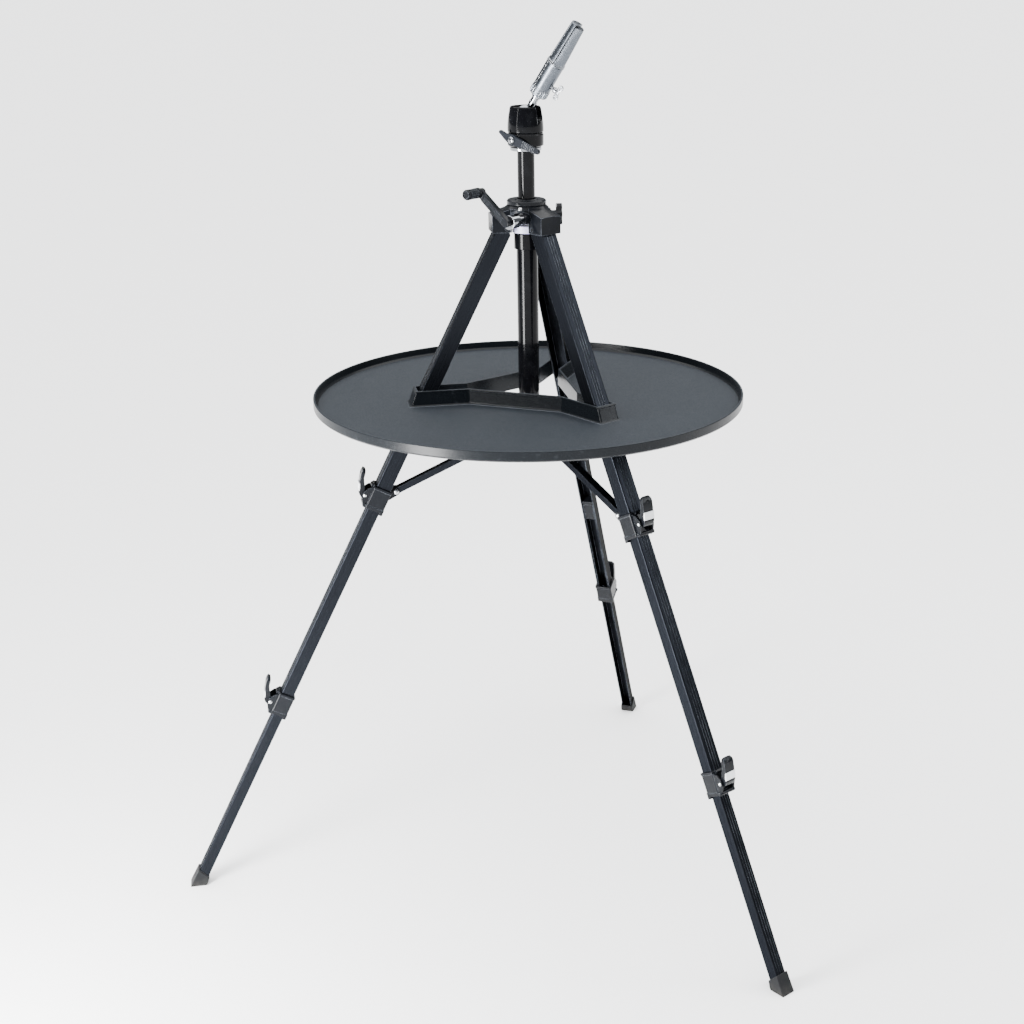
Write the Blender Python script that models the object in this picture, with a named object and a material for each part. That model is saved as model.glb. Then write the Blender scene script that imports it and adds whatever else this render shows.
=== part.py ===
"""Folding salon tripod: three telescoping legs, a cranked column, a tilting clamp plug and a round tray.

Dimensions are in millimetres and are scaled to metres when an object is made. The column axis is
vertical. The rear leg points along +Y, the left leg to 210 degrees and the right leg to 330 degrees.
"""

from math import acos, cos, pi, radians, sin, tan

import bmesh
import bpy
from mathutils import Matrix, Vector

MILLIMETRE = 0.001
GAP = 0.3
CLEAR = 12
UP = Vector((0, 0, 1))

# Legs
LEG_AZIMUTHS = {"rear": 90, "left": 210, "right": 330}
LOWER_CLAMP_CENTRES = {"rear": 701.6, "left": 707.7, "right": 728.9}
LEG_TILT = radians(26.72)
PIVOT_RADIUS = 28
PIVOT_HEIGHT = 897
PIVOT_PIN_RADIUS = 2.5
SECTION_WALL = 1.3
UPPER_WIDTH, UPPER_DEPTH, UPPER_FACE = 24, 19.4, 10.9
MID_WIDTH, MID_DEPTH, MID_FACE = 20, 17, 9.3
LOWER_WIDTH, LOWER_DEPTH, LOWER_FACE = 16.2, 14.8, 7.7
UPPER_TOP, UPPER_END = -5, 401
MID_LENGTH = 457
MID_PLUG = 16
MID_PLUG_INNER = -2
LOWER_TOP, LOWER_END = 505, 996
GROOVE_DEPTH, GROOVE_HALF_WIDTH, GROOVE_SPACING = 0.5, 0.6, 4

# Clamps and their levers
UPPER_CLAMP_CENTRE = 390.3
CLAMP_TOP, CLAMP_END = -17.5, 14.5
CLAMP_WALL = 3
SKIRT_DROP = 3
CLAMP_FLOOR = 3.5
EAR_INSIDE, EAR_OUTSIDE = 8.8, 11.6
LEVER_PIN_HEIGHT = 6
LEVER_PIN_RADIUS = 1.4
LEVER_HALF_WIDTH = 8.2

# Feet
FOOT_TOP = 984
FOOT_FLOOR_RADIUS = 479.6
FOOT_HALF_WIDTH, FOOT_HALF_DEPTH = 10.4, 11

# Spreader
BRACE_PIVOT_ALONG, BRACE_PIVOT_OUT = 371, -16.5
HUB_PIVOT_RADIUS, HUB_PIVOT_HEIGHT = 32, 624.9
BRACE_HALF_WIDTH, BRACE_DEPTH = 6, 8
BRACE_WALL, BRACE_EYE = 1.3, 7
BRACE_PIN_RADIUS = 2
HUB_RADIUS = 17.5
HUB_EAR_INSIDE, HUB_EAR_OUTSIDE = 6.5, 8.4
HUB_BELOW, HUB_ABOVE = 14, 4

# Column, sheath and shoulder
COLUMN_RADIUS, COLUMN_BORE = 10.8, 9.2
COLUMN_BOTTOM, COLUMN_TOP = 700, 1002.6
GUIDE_BORE = 11.3
SHEATH_RADIUS = 13.5
SHEATH_BOTTOM, SHEATH_TOP = 606, 889.6
SHEATH_FOOT_RADIUS, SHEATH_FOOT_BOTTOM = 16, 597
BUSHING_RADIUS, BUSHING_BOTTOM = 16.5, 869
RING_RADIUS, RING_BOTTOM, RING_TOP = 18.4, 889.9, 899.2
SHOULDER_BOTTOM, SHOULDER_TOP = 892, 924.7
LOBE_REACH, LOBE_HALF_WIDTH = 46.6, 16
CAVITY_START, CAVITY_END, CAVITY_HALF_WIDTH, CAVITY_TOP = 13.2, 44.2, 12.5, 908
WINDOW_AZIMUTH, WINDOW_HALF_WIDTH, WINDOW_SPRING = 270, 12, 906
CAP_RADIUS, CAP_BOTTOM, CAP_TOP = 24.9, 925, 931

# Rack, pinion and crank
GEAR_MODULE = 1
PINION_TEETH = 13
PITCH_LINE = 9.9
RACK_AZIMUTH = 342
CRANK_AZIMUTH = 252
CRANK_HEIGHT = 910
CRANK_OFFSET = PITCH_LINE + GEAR_MODULE * PINION_TEETH / 2
RACK_BOTTOM, RACK_TOP = 752, 929
SHAFT_RADIUS = 3.9
ARM_START, ARM_END = 57.4, 62.4
ARM_LENGTH = 53.5
ARM_RISE = radians(39)
GRIP_RADIUS, GRIP_END = 6.5, 88.5

# Column lock
LOCK_AZIMUTH = 30
LOCK_HEIGHT = 911

# Tray
TRAY_RADIUS = 280
TRAY_BOTTOM = 671.3
TRAY_PLATE = 2.5
TRAY_RIM_HEIGHT = 13.4
TRAY_RIM_WALL = 3
STAR_WALL_HEIGHT = 20
STAR_OUTER_HALF, STAR_INNER_HALF = 15, 12.8
STAR_BREAK = 81
STAR_OUTER_TIP, STAR_INNER_TIP = 157.6, 155
STAR_LEAN = 0.36

# Head
HEAD_RADIUS = 22.5
COLLAR_BOTTOM, COLLAR_TOP = 995.7, 1012.6
CUP_TOP, CUP_TOP_RADIUS = 1044, 19.2
CUP_OPENING = 16.8
BALL_HEIGHT, BALL_RADIUS = 1032.6, 13
SLOT_AZIMUTH, SLOT_HALF_WIDTH, SLOT_FLOOR = 350, 5.5, 1027
STEM_RADIUS = 4.5
PLUG_TILT = radians(34.7)
PLUG_RING_START, PLUG_RING_END = 32, 42
PLUG_STEP, PLUG_END = 79.5, 132
PLUG_RADIUS, PLUG_TAPER_RADIUS, PLUG_END_RADIUS = 11.4, 10.85, 8.9
RAIL_FACE, JAW_FACE = 5.4, 4.4
TAPER_BASE_FACE, TAPER_JAW_FACE = -1, -2
JAW_END = 129
WING_ALONG = 50
WING_REACH = 21
JAW_TRAVEL = 3
TILT_LEVER_AZIMUTH, TILT_LEVER_HEIGHT = 250, 1005
TILT_LEVER_SLOPE = radians(17)

# The footprint's middle in Y is the origin, so the column stands behind it.
COLUMN_Y = (TRAY_RADIUS - FOOT_FLOOR_RADIUS - FOOT_HALF_DEPTH) / 2

# Finishes: colour, metallic, roughness
ANODISED = ((0.012, 0.013, 0.016), 0.9, 0.32)
GLOSS_BLACK = ((0.006, 0.006, 0.007), 0.2, 0.12)
BLACK_PLASTIC = ((0.014, 0.016, 0.019), 0.0, 0.42)
TRAY_PLASTIC = ((0.085, 0.095, 0.115), 0.0, 0.6)
RUBBER = ((0.012, 0.012, 0.013), 0.0, 0.75)
CAST_ZINC = ((0.36, 0.37, 0.38), 0.85, 0.4)
CHROME = ((0.75, 0.76, 0.78), 1.0, 0.15)
STEEL = ((0.6, 0.61, 0.63), 1.0, 0.28)
PALE_PLASTIC = ((0.55, 0.54, 0.72), 0.0, 0.4)

# Turns an outline drawn in XY and extruded in Z so that it is extruded along X, or sideways along Y.
ALONG_X = Matrix(((0, 0, 1, 0), (1, 0, 0, 0), (0, 1, 0, 0), (0, 0, 0, 1)))
SIDEWAYS = Matrix(((1, 0, 0, 0), (0, 0, -1, 0), (0, 1, 0, 0), (0, 0, 0, 1)))


def clear_scene():
    for item in list(bpy.data.objects):
        bpy.data.objects.remove(item, do_unlink=True)


# Shapes


def loft(rings):
    """A closed solid through matching rings of points, capped at both ends."""
    shape = bmesh.new()
    loops = [[shape.verts.new(point) for point in ring] for ring in rings]
    count = len(loops[0])
    for lower, upper in zip(loops, loops[1:]):
        for i in range(count):
            shape.faces.new((lower[i], lower[(i + 1) % count], upper[(i + 1) % count], upper[i]))
    shape.faces.new(reversed(loops[0]))
    shape.faces.new(loops[-1])
    bmesh.ops.recalc_face_normals(shape, faces=shape.faces)
    return shape


def prism(outline, low, high, turn=None):
    shape = loft([[(x, y, height) for x, y in outline] for height in (low, high)])
    if turn:
        shape.transform(turn)
    return shape


def box(low, high):
    outline = [(low[0], low[1]), (high[0], low[1]), (high[0], high[1]), (low[0], high[1])]
    return prism(outline, low[2], high[2])


def lathe(outline, segments=24):
    """Turn a counterclockwise (radius, height) outline about Z; radius 0 is a point on the axis."""
    shape = bmesh.new()
    rings = []
    for radius, height in outline:
        count = segments if radius else 1
        angles = [2 * pi * i / count for i in range(count)]
        rings.append([shape.verts.new((radius * cos(a), radius * sin(a), height)) for a in angles])
    for lower, upper in zip(rings, rings[1:] + rings[:1]):
        if len(lower) == len(upper) == 1:
            continue
        for i in range(segments):
            corners = [lower[i % len(lower)], lower[(i + 1) % len(lower)]]
            corners += [upper[(i + 1) % len(upper)], upper[i % len(upper)]]
            shape.faces.new(list(dict.fromkeys(corners)))
    return shape


def cylinder(radius, low, high, segments=20):
    return lathe([(0, low), (radius, low), (radius, high), (0, high)], segments)


def tube(bore, radius, low, high, segments=28):
    return lathe([(bore, low), (radius, low), (radius, high), (bore, high)], segments)


def crosswise(shape, centre=(0, 0, 0)):
    """Lay a shape turned about Z along Y, through the given centre."""
    shape.transform(Matrix.Translation(centre) @ Matrix.Rotation(pi / 2, 4, "X"))
    return shape


def arc(centre, radius, start, end, steps):
    """Points on an arc, with the angles in degrees."""
    angles = [radians(start + (end - start) * i / steps) for i in range(steps + 1)]
    return [(centre[0] + radius * cos(a), centre[1] + radius * sin(a)) for a in angles]


def bare_object(shape):
    mesh = bpy.data.meshes.new("shape")
    shape.to_mesh(mesh)
    shape.free()
    item = bpy.data.objects.new("shape", mesh)
    bpy.context.scene.collection.objects.link(item)
    return item


def boolean(shape, tool, operation):
    """Combine two shapes with one exact Boolean and use both of them up."""
    base = bare_object(shape)
    other = bare_object(tool)
    step = base.modifiers.new("boolean", "BOOLEAN")
    step.solver = "EXACT"
    step.operation = operation
    step.object = other
    graph = bpy.context.evaluated_depsgraph_get()
    mesh = bpy.data.meshes.new_from_object(base.evaluated_get(graph))
    result = bmesh.new()
    result.from_mesh(mesh)
    for item in (base, other):
        spare = item.data
        bpy.data.objects.remove(item)
        bpy.data.meshes.remove(spare)
    bpy.data.meshes.remove(mesh)
    bmesh.ops.dissolve_limit(result, angle_limit=radians(0.1), verts=result.verts, edges=result.edges)
    return result


def cut(shape, *tools):
    for tool in tools:
        shape = boolean(shape, tool, "DIFFERENCE")
    return shape


def fuse(shape, *tools):
    for tool in tools:
        shape = boolean(shape, tool, "UNION")
    return shape


# Frames


def frame(origin, x_axis, y_axis):
    x_axis = Vector(x_axis).normalized()
    y_axis = Vector(y_axis).normalized()
    turn = Matrix((x_axis, y_axis, x_axis.cross(y_axis))).transposed().to_4x4()
    return Matrix.Translation(Vector(origin)) @ turn


def compass(azimuth):
    angle = radians(azimuth)
    return Vector((cos(angle), sin(angle), 0))


def leg_frame(azimuth):
    """X runs down the leg, Y across it and Z out of its outer face, from the leg's pivot."""
    outward = compass(azimuth)
    along = outward * sin(LEG_TILT) - UP * cos(LEG_TILT)
    face = outward * cos(LEG_TILT) + UP * sin(LEG_TILT)
    return frame(outward * PIVOT_RADIUS + UP * PIVOT_HEIGHT, along, face.cross(along))


def axis_frame(origin, direction):
    """Z runs along the direction and X is as near to straight up as it can be."""
    z_axis = Vector(direction).normalized()
    side = z_axis.cross(UP).normalized()
    return frame(origin, side.cross(z_axis), side)


def brace_frame():
    """The brace's frame in its leg's frame: X runs from the clamp to the hub, Z out of the web."""
    along, out = Vector((sin(LEG_TILT), -cos(LEG_TILT))), Vector((cos(LEG_TILT), sin(LEG_TILT)))
    reach = Vector((HUB_PIVOT_RADIUS - PIVOT_RADIUS, HUB_PIVOT_HEIGHT - PIVOT_HEIGHT))
    hub = Vector((reach.dot(along), reach.dot(out)))
    run = hub - Vector((BRACE_PIVOT_ALONG, BRACE_PIVOT_OUT))
    origin = (BRACE_PIVOT_ALONG, 0, BRACE_PIVOT_OUT)
    return frame(origin, (run.x, 0, run.y), (0, -1, 0)), run.length


# Objects


def empty(name, matrix, parent=None):
    item = bpy.data.objects.new(name, None)
    bpy.context.scene.collection.objects.link(item)
    item.parent = parent
    item.matrix_local = scaled(matrix)
    return item


def scaled(matrix):
    result = matrix.copy()
    result.translation *= MILLIMETRE
    return result


def finish_material(name, finish):
    colour, metallic, roughness = finish
    material = bpy.data.materials.new(name + "_finish")
    material.use_nodes = True
    shader = material.node_tree.nodes["Principled BSDF"]
    shader.inputs["Base Color"].default_value = (*colour, 1)
    shader.inputs["Metallic"].default_value = metallic
    shader.inputs["Roughness"].default_value = roughness
    return material


def part(name, shape, finish, parent, matrix=None):
    """Make a named object from a shape drawn in millimetres."""
    mesh = bpy.data.meshes.new(name)
    shape.transform(Matrix.Scale(MILLIMETRE, 4))
    shape.to_mesh(mesh)
    shape.free()
    mesh.shade_smooth()
    mesh.set_sharp_from_angle(angle=radians(35))
    mesh.materials.append(finish_material(name, finish))
    item = bpy.data.objects.new(name, mesh)
    bpy.context.scene.collection.objects.link(item)
    item.parent = parent
    item.matrix_local = scaled(matrix or Matrix())
    return item


# Legs


def channel_outline(width, depth, face):
    """A U channel that opens inwards, with three grooves in its outer face."""
    half, inner = width / 2, face - depth
    outline = [(half, inner), (half, face)]
    for centre in (GROOVE_SPACING, 0, -GROOVE_SPACING):
        outline.append((centre + GROOVE_HALF_WIDTH, face))
        outline.append((centre, face - GROOVE_DEPTH))
        outline.append((centre - GROOVE_HALF_WIDTH, face))
    outline += [(-half, face), (-half, inner), (SECTION_WALL - half, inner)]
    outline += [(SECTION_WALL - half, face - SECTION_WALL), (half - SECTION_WALL, face - SECTION_WALL)]
    return outline + [(half - SECTION_WALL, inner)]


def upper_section():
    """The top leg section, rounded off at its pivot and drilled for the pin."""
    outline = channel_outline(UPPER_WIDTH, UPPER_DEPTH, UPPER_FACE)
    shape = prism(outline, UPPER_TOP, UPPER_END, ALONG_X)
    corner = [(-20, 0), (UPPER_TOP, 0), (6, UPPER_FACE - UPPER_DEPTH), (6, -20), (-20, -20)]
    corner_cutter = prism(corner, -UPPER_WIDTH, UPPER_WIDTH, SIDEWAYS)
    pin_hole = crosswise(cylinder(PIVOT_PIN_RADIUS + GAP, -UPPER_WIDTH, UPPER_WIDTH, 16))
    return cut(shape, corner_cutter, pin_hole)


def section(width, depth, face, start, end):
    return prism(channel_outline(width, depth, face), start, end, ALONG_X)


def mid_section(end):
    """The middle section, closed at its top end by a short block."""
    start = end - MID_LENGTH
    shape = section(MID_WIDTH, MID_DEPTH, MID_FACE, start, end)
    half = MID_WIDTH / 2 - SECTION_WALL / 2
    block = box((start + 1, -half, MID_PLUG_INNER), (start + MID_PLUG, half, MID_FACE - SECTION_WALL / 2))
    return fuse(shape, block)


def guide_block():
    """The plastic guide in the top end of the lowest section."""
    half = LOWER_WIDTH / 2 - SECTION_WALL - GAP
    inner = LOWER_FACE - LOWER_DEPTH + 1
    shape = box((0, -half, inner), (30, half, LOWER_FACE - SECTION_WALL - GAP))
    cap = box((-6, -LOWER_WIDTH / 2, inner), (-GAP, LOWER_WIDTH / 2, LOWER_FACE - 0.1))
    neck = box((-1, -half + 1, inner + 1), (1, half - 1, LOWER_FACE - 3))
    return fuse(shape, neck, cap)


def rectangle(half_width, low, high):
    return [(-half_width, low), (half_width, low), (half_width, high), (-half_width, high)]


def clamp_body(width, depth, face, inner_width, inner_depth, inner_face, bracket):
    """A collar round the end of one section with a smaller mouth for the next, and two lever ears."""
    half, low, high = width / 2 + CLAMP_WALL, face - depth - CLAMP_WALL, face + CLAMP_WALL
    side = [(CLAMP_TOP, low), (CLAMP_TOP, high), (CLAMP_END, high), (CLAMP_END, low + 6)]
    side += [(CLAMP_END + SKIRT_DROP, low + 5), (CLAMP_END + SKIRT_DROP, low)]
    shape = prism(side, -half, half, SIDEWAYS)
    mouth = rectangle(width / 2 + GAP, face - depth - GAP, face + GAP)
    shape = cut(shape, prism(mouth, CLAMP_TOP - 5, CLAMP_END - CLAMP_FLOOR, ALONG_X))
    throat = rectangle(inner_width / 2 + GAP, inner_face - inner_depth - GAP, inner_face + GAP)
    shape = cut(shape, prism(throat, CLAMP_TOP, CLAMP_END + 10, ALONG_X))
    pin_out = high + LEVER_PIN_HEIGHT
    ear = [(-15, high - 1), (-11, pin_out - 1), (-4, pin_out + 3.4), (3, pin_out + 3.4)]
    ear += [(9, pin_out), (14, high + 3), (16, high - 1)]
    for sign in (-1, 1):
        sides = sorted((-sign * EAR_INSIDE, -sign * EAR_OUTSIDE))
        shape = fuse(shape, prism(ear, *sides, SIDEWAYS))
    pin = crosswise(cylinder(LEVER_PIN_RADIUS, -EAR_OUTSIDE - 0.8, EAR_OUTSIDE + 0.8, 12), (0, 0, pin_out))
    bar = crosswise(cylinder(2.6, -EAR_OUTSIDE - 1, EAR_OUTSIDE + 1, 12), (12.4, 0, high + 1.6))
    shape = fuse(shape, pin, bar)
    return add_bracket(shape, low) if bracket else shape


def add_bracket(shape, low):
    """Two lugs on the inner top edge of the upper clamp that carry the brace's pivot."""
    along = BRACE_PIVOT_ALONG - UPPER_CLAMP_CENTRE
    lug = arc((along, BRACE_PIVOT_OUT), 4.6, 90, 300, 6) + [(along + 14, low - 1), (along + 14, low + 1.5)]
    lug.append((along + 2.5, low + 1.5))
    for sign in (-1, 1):
        sides = sorted((sign * (BRACE_HALF_WIDTH + 0.4), sign * (BRACE_HALF_WIDTH + 2.9)))
        shape = fuse(shape, prism(lug, *sides, SIDEWAYS))
    hole = crosswise(cylinder(BRACE_PIN_RADIUS + GAP, -20, 20, 16), (along, 0, BRACE_PIVOT_OUT))
    return cut(shape, hole)


def clamp_lever():
    """A cam lever on its pin: a barrel, a label block, a spur and a paddle that flares outwards."""
    side = [(-32, 14), (-30.5, 15.8), (-24, 16), (-16, 14), (-8, 11), (-2.5, 9.8), (0.5, 8.4), (3, 6)]
    side += [(5, 2.4), (4.8, -1.5), (3, -3.6), (-1.5, -3.9), (-4, -2), (-6.5, 3), (-13, 6), (-20, 9.8)]
    side += [(-27, 11), (-31, 12)]
    shape = prism(side, -LEVER_HALF_WIDTH, LEVER_HALF_WIDTH, SIDEWAYS)
    plan = [(10, -LEVER_HALF_WIDTH - 1), (10, LEVER_HALF_WIDTH + 1), (-14, LEVER_HALF_WIDTH + 1)]
    plan += arc((-25.5, LEVER_HALF_WIDTH - 6.5), 6.5, 90, 180, 4)
    plan += arc((-25.5, 6.5 - LEVER_HALF_WIDTH), 6.5, 180, 270, 4)
    plan.append((-14, -LEVER_HALF_WIDTH - 1))
    shape = boolean(shape, prism(plan, -20, 30), "INTERSECT")
    return cut(shape, crosswise(cylinder(LEVER_PIN_RADIUS + GAP, -20, 20, 12)))


def foot_boot():
    """A flared rubber boot: square to the leg at its mouth and level at the floor."""
    low, high = LOWER_FACE - LOWER_DEPTH - 1.7, LOWER_FACE + 1.7
    half = LOWER_WIDTH / 2 + 1.7
    mouth = [(FOOT_TOP + 3, -half, low), (FOOT_TOP + 3, half, low), (FOOT_TOP - 3, half, high)]
    mouth.append((FOOT_TOP - 3, -half, high))
    rings = [mouth]
    inner, outer = FOOT_FLOOR_RADIUS - FOOT_HALF_DEPTH, FOOT_FLOOR_RADIUS + FOOT_HALF_DEPTH
    for height in (3, 0):
        lean = height * tan(LEG_TILT)
        corners = [(inner - lean, -FOOT_HALF_WIDTH), (inner - lean, FOOT_HALF_WIDTH)]
        corners += [(outer - lean, FOOT_HALF_WIDTH), (outer - lean, -FOOT_HALF_WIDTH)]
        rings.append([floor_point(radius, across, height) for radius, across in corners])
    shape = loft(rings)
    pocket = rectangle(LOWER_WIDTH / 2 + GAP, LOWER_FACE - LOWER_DEPTH - GAP, LOWER_FACE + GAP)
    return cut(shape, prism(pocket, FOOT_TOP - 20, LOWER_END + GAP, ALONG_X))


def floor_point(radius, across, height):
    """A point given by its distance from the column axis and its height, in the leg's frame."""
    out, rise = radius - PIVOT_RADIUS, height - PIVOT_HEIGHT
    along = out * sin(LEG_TILT) - rise * cos(LEG_TILT)
    return along, across, out * cos(LEG_TILT) + rise * sin(LEG_TILT)


def brace(length):
    """A shallow channel link with a pin hole at the clamp end and a plain rounded hub end."""
    side = arc((0, 0), BRACE_DEPTH / 2, 90, 270, 6) + arc((length, 0), BRACE_DEPTH / 2, -90, 90, 6)
    shape = prism(side, -BRACE_HALF_WIDTH, BRACE_HALF_WIDTH, SIDEWAYS)
    inside, web = BRACE_HALF_WIDTH - BRACE_WALL, BRACE_DEPTH / 2 - BRACE_WALL
    trough = box((BRACE_EYE, -inside, -BRACE_DEPTH), (length - BRACE_EYE, inside, web))
    return cut(shape, trough, crosswise(cylinder(BRACE_PIN_RADIUS + GAP, -20, 20, 16)))


def headed_pin(radius, reach, head_radius, head):
    outline = [(0, -reach - head), (head_radius * 0.7, -reach - head), (head_radius, -reach - head * 0.5)]
    outline += [(head_radius, -reach), (radius, -reach), (radius, reach), (head_radius, reach)]
    outline += [(head_radius, reach + head * 0.5), (head_radius * 0.7, reach + head), (0, reach + head)]
    return crosswise(lathe(outline, 12))


def build_leg(name, stand):
    leg = empty("leg_axis_" + name, leg_frame(LEG_AZIMUTHS[name]), stand)
    lower_clamp = LOWER_CLAMP_CENTRES[name]
    mid_end = lower_clamp + CLAMP_END - CLAMP_FLOOR - GAP
    part("leg_upper_" + name, upper_section(), ANODISED, leg)
    part("leg_mid_" + name, mid_section(mid_end), ANODISED, leg)
    lower = section(LOWER_WIDTH, LOWER_DEPTH, LOWER_FACE, LOWER_TOP, LOWER_END)
    part("leg_lower_" + name, lower, ANODISED, leg)
    part("lower_guide_" + name, guide_block(), BLACK_PLASTIC, leg, Matrix.Translation((LOWER_TOP, 0, 0)))
    upper_sizes = (UPPER_WIDTH, UPPER_DEPTH, UPPER_FACE, MID_WIDTH, MID_DEPTH, MID_FACE)
    mid_sizes = (MID_WIDTH, MID_DEPTH, MID_FACE, LOWER_WIDTH, LOWER_DEPTH, LOWER_FACE)
    levels = (("upper", UPPER_CLAMP_CENTRE, upper_sizes), ("lower", lower_clamp, mid_sizes))
    for level, centre, sizes in levels:
        place = Matrix.Translation((centre, 0, 0))
        part("clamp_" + level + "_" + name, clamp_body(*sizes, level == "upper"), BLACK_PLASTIC, leg, place)
        pin_out = sizes[2] + CLAMP_WALL + LEVER_PIN_HEIGHT
        place = Matrix.Translation((centre, 0, pin_out))
        part("lever_" + level + "_" + name, clamp_lever(), BLACK_PLASTIC, leg, place)
    part("foot_" + name, foot_boot(), RUBBER, leg)
    turn, length = brace_frame()
    part("brace_" + name, brace(length), ANODISED, leg, turn)
    reach = BRACE_HALF_WIDTH + 2.9 + GAP
    place = Matrix.Translation((BRACE_PIVOT_ALONG, 0, BRACE_PIVOT_OUT))
    part("brace_pin_" + name, headed_pin(BRACE_PIN_RADIUS, reach, 3.6, 1.4), STEEL, leg, place)


# Shoulder, sheath and column


def polar_box(azimuth, start, end, half_width, low, high):
    shape = box((start, -half_width, low), (end, half_width, high))
    shape.transform(Matrix.Rotation(radians(azimuth), 4, "Z"))
    return shape


def crank_frame():
    """Z runs out along the crank shaft, from the pinion beside the column."""
    origin = compass(RACK_AZIMUTH) * CRANK_OFFSET + UP * CRANK_HEIGHT
    return axis_frame(origin, compass(CRANK_AZIMUTH))


def lock_frame():
    return axis_frame(UP * LOCK_HEIGHT, compass(LOCK_AZIMUTH))


def placed(shape, matrix):
    shape.transform(matrix)
    return shape


def shoulder_casting():
    """Three hollow lobes for the leg tops, a column bore, a pinion chamber and an arched front window."""
    below, above = SHOULDER_BOTTOM - CLEAR, SHOULDER_TOP + CLEAR
    roof = [(0, SHOULDER_BOTTOM), (60, SHOULDER_BOTTOM), (60, 909.5), (28, 921), (24, SHOULDER_TOP)]
    shape = lathe(roof + [(0, SHOULDER_TOP)], 28)
    plan = cylinder(28, below, above, 28)
    for azimuth in LEG_AZIMUTHS.values():
        plan = fuse(plan, polar_box(azimuth, 0, LOBE_REACH, LOBE_HALF_WIDTH, below + 1, above - 1))
    shape = boolean(shape, plan, "INTERSECT")
    for azimuth in LEG_AZIMUTHS.values():
        cavity = polar_box(azimuth, CAVITY_START, CAVITY_END, CAVITY_HALF_WIDTH, below, CAVITY_TOP)
        hole = crosswise(cylinder(PIVOT_PIN_RADIUS + GAP, -30, 30, 16), (PIVOT_RADIUS, 0, PIVOT_HEIGHT))
        shape = cut(shape, cavity, placed(hole, Matrix.Rotation(radians(azimuth), 4, "Z")))
    window = [(-WINDOW_HALF_WIDTH, below), (WINDOW_HALF_WIDTH, below)]
    window += arc((0, WINDOW_SPRING), WINDOW_HALF_WIDTH, 0, 180, 10)
    arch = prism(window, 14, 60, ALONG_X)
    shape = cut(shape, placed(arch, Matrix.Rotation(radians(WINDOW_AZIMUTH), 4, "Z")))
    shape = cut(shape, cylinder(GUIDE_BORE, below, above, 28))
    shape = cut(shape, cylinder(RING_RADIUS + 0.4, below, RING_TOP + GAP, 28))
    shape = cut(shape, placed(cylinder(8.2, -5, 5.5), crank_frame()))
    shape = cut(shape, placed(cylinder(6.9, 5, 50), crank_frame()))
    return cut(shape, placed(cylinder(3.4, 5, 50, 20), lock_frame()))


def shoulder_cap():
    outline = [(GUIDE_BORE, CAP_BOTTOM), (CAP_RADIUS, CAP_BOTTOM), (CAP_RADIUS, CAP_TOP - 1.6)]
    outline += [(CAP_RADIUS - 1.6, CAP_TOP), (13, CAP_TOP), (GUIDE_BORE, CAP_TOP - 1)]
    return lathe(outline, 32)


def sheath_foot():
    """The plug that closes the bottom of the sheath."""
    plug = GUIDE_BORE - GAP
    radius, low, high = SHEATH_FOOT_RADIUS, SHEATH_FOOT_BOTTOM, SHEATH_BOTTOM - GAP
    outline = [(0, low), (radius - 2, low), (radius, low + 2), (radius, high), (plug, high)]
    return lathe(outline + [(plug, SHEATH_BOTTOM + 8), (0, SHEATH_BOTTOM + 8)])


def center_column():
    """The sliding tube, slotted along one side for the rack."""
    shape = tube(COLUMN_BORE, COLUMN_RADIUS, COLUMN_BOTTOM, COLUMN_TOP)
    slot = polar_box(RACK_AZIMUTH, 5, 15, 2.8, RACK_BOTTOM - 1, RACK_TOP + 1)
    return cut(shape, slot)


def column_rack():
    """A toothed strip that is level with the tube's surface; a tooth gap faces the pinion's axis."""
    pitch = pi * GEAR_MODULE
    root, tip, back = PITCH_LINE - 1.25, PITCH_LINE + 0.85, 7.2
    outline = [(back, RACK_BOTTOM)]
    first = int((RACK_BOTTOM - CRANK_HEIGHT) / pitch)
    last = int((RACK_TOP - CRANK_HEIGHT) / pitch)
    for index in range(first, last):
        middle = CRANK_HEIGHT + (index + 0.5) * pitch
        outline += [(root, middle - 0.95), (tip, middle - 0.35), (tip, middle + 0.35), (root, middle + 0.95)]
    outline.append((back, RACK_TOP))
    shape = prism(outline, -2.5, 2.5, SIDEWAYS)
    shape.transform(Matrix.Rotation(radians(RACK_AZIMUTH), 4, "Z"))
    return shape


def crank_shaft():
    """Pinion, shaft and the bright hub that carries the crank arm."""
    gear = []
    root, tip = PINION_TEETH / 2 - 1.25, PINION_TEETH / 2 + 0.9
    for index in range(PINION_TEETH):
        middle = pi / 2 + 2 * pi * index / PINION_TEETH
        for radius, half in ((root, 0.95), (tip, 0.35), (tip, -0.35), (root, -0.95)):
            angle = middle - half / radius
            gear.append((radius * cos(angle), radius * sin(angle)))
    pinion = prism(gear, -2.4, 2.4)
    outline = [(0, -3), (SHAFT_RADIUS, -3), (SHAFT_RADIUS, 31.5), (5.2, 31.5), (5.2, 43), (8, 44.5)]
    outline += [(8, ARM_START - GAP), (SHAFT_RADIUS, ARM_START - GAP), (SHAFT_RADIUS, ARM_END + GAP)]
    outline += [(8.2, ARM_END + GAP), (8.2, ARM_END + 2), (7, ARM_END + 3), (0, ARM_END + 3)]
    return fuse(lathe(outline, 24), pinion)


def crank_bearing():
    return tube(SHAFT_RADIUS + GAP, 6.6, 6, 31, 24)


def crank_arm_turn():
    """The arm's frame: X runs from the shaft to the grip, Z out along the shaft."""
    reach = compass(CRANK_AZIMUTH - 90) * cos(ARM_RISE) + UP * sin(ARM_RISE)
    shaft = compass(CRANK_AZIMUTH)
    return frame(crank_frame().translation, reach, shaft.cross(reach))


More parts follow.
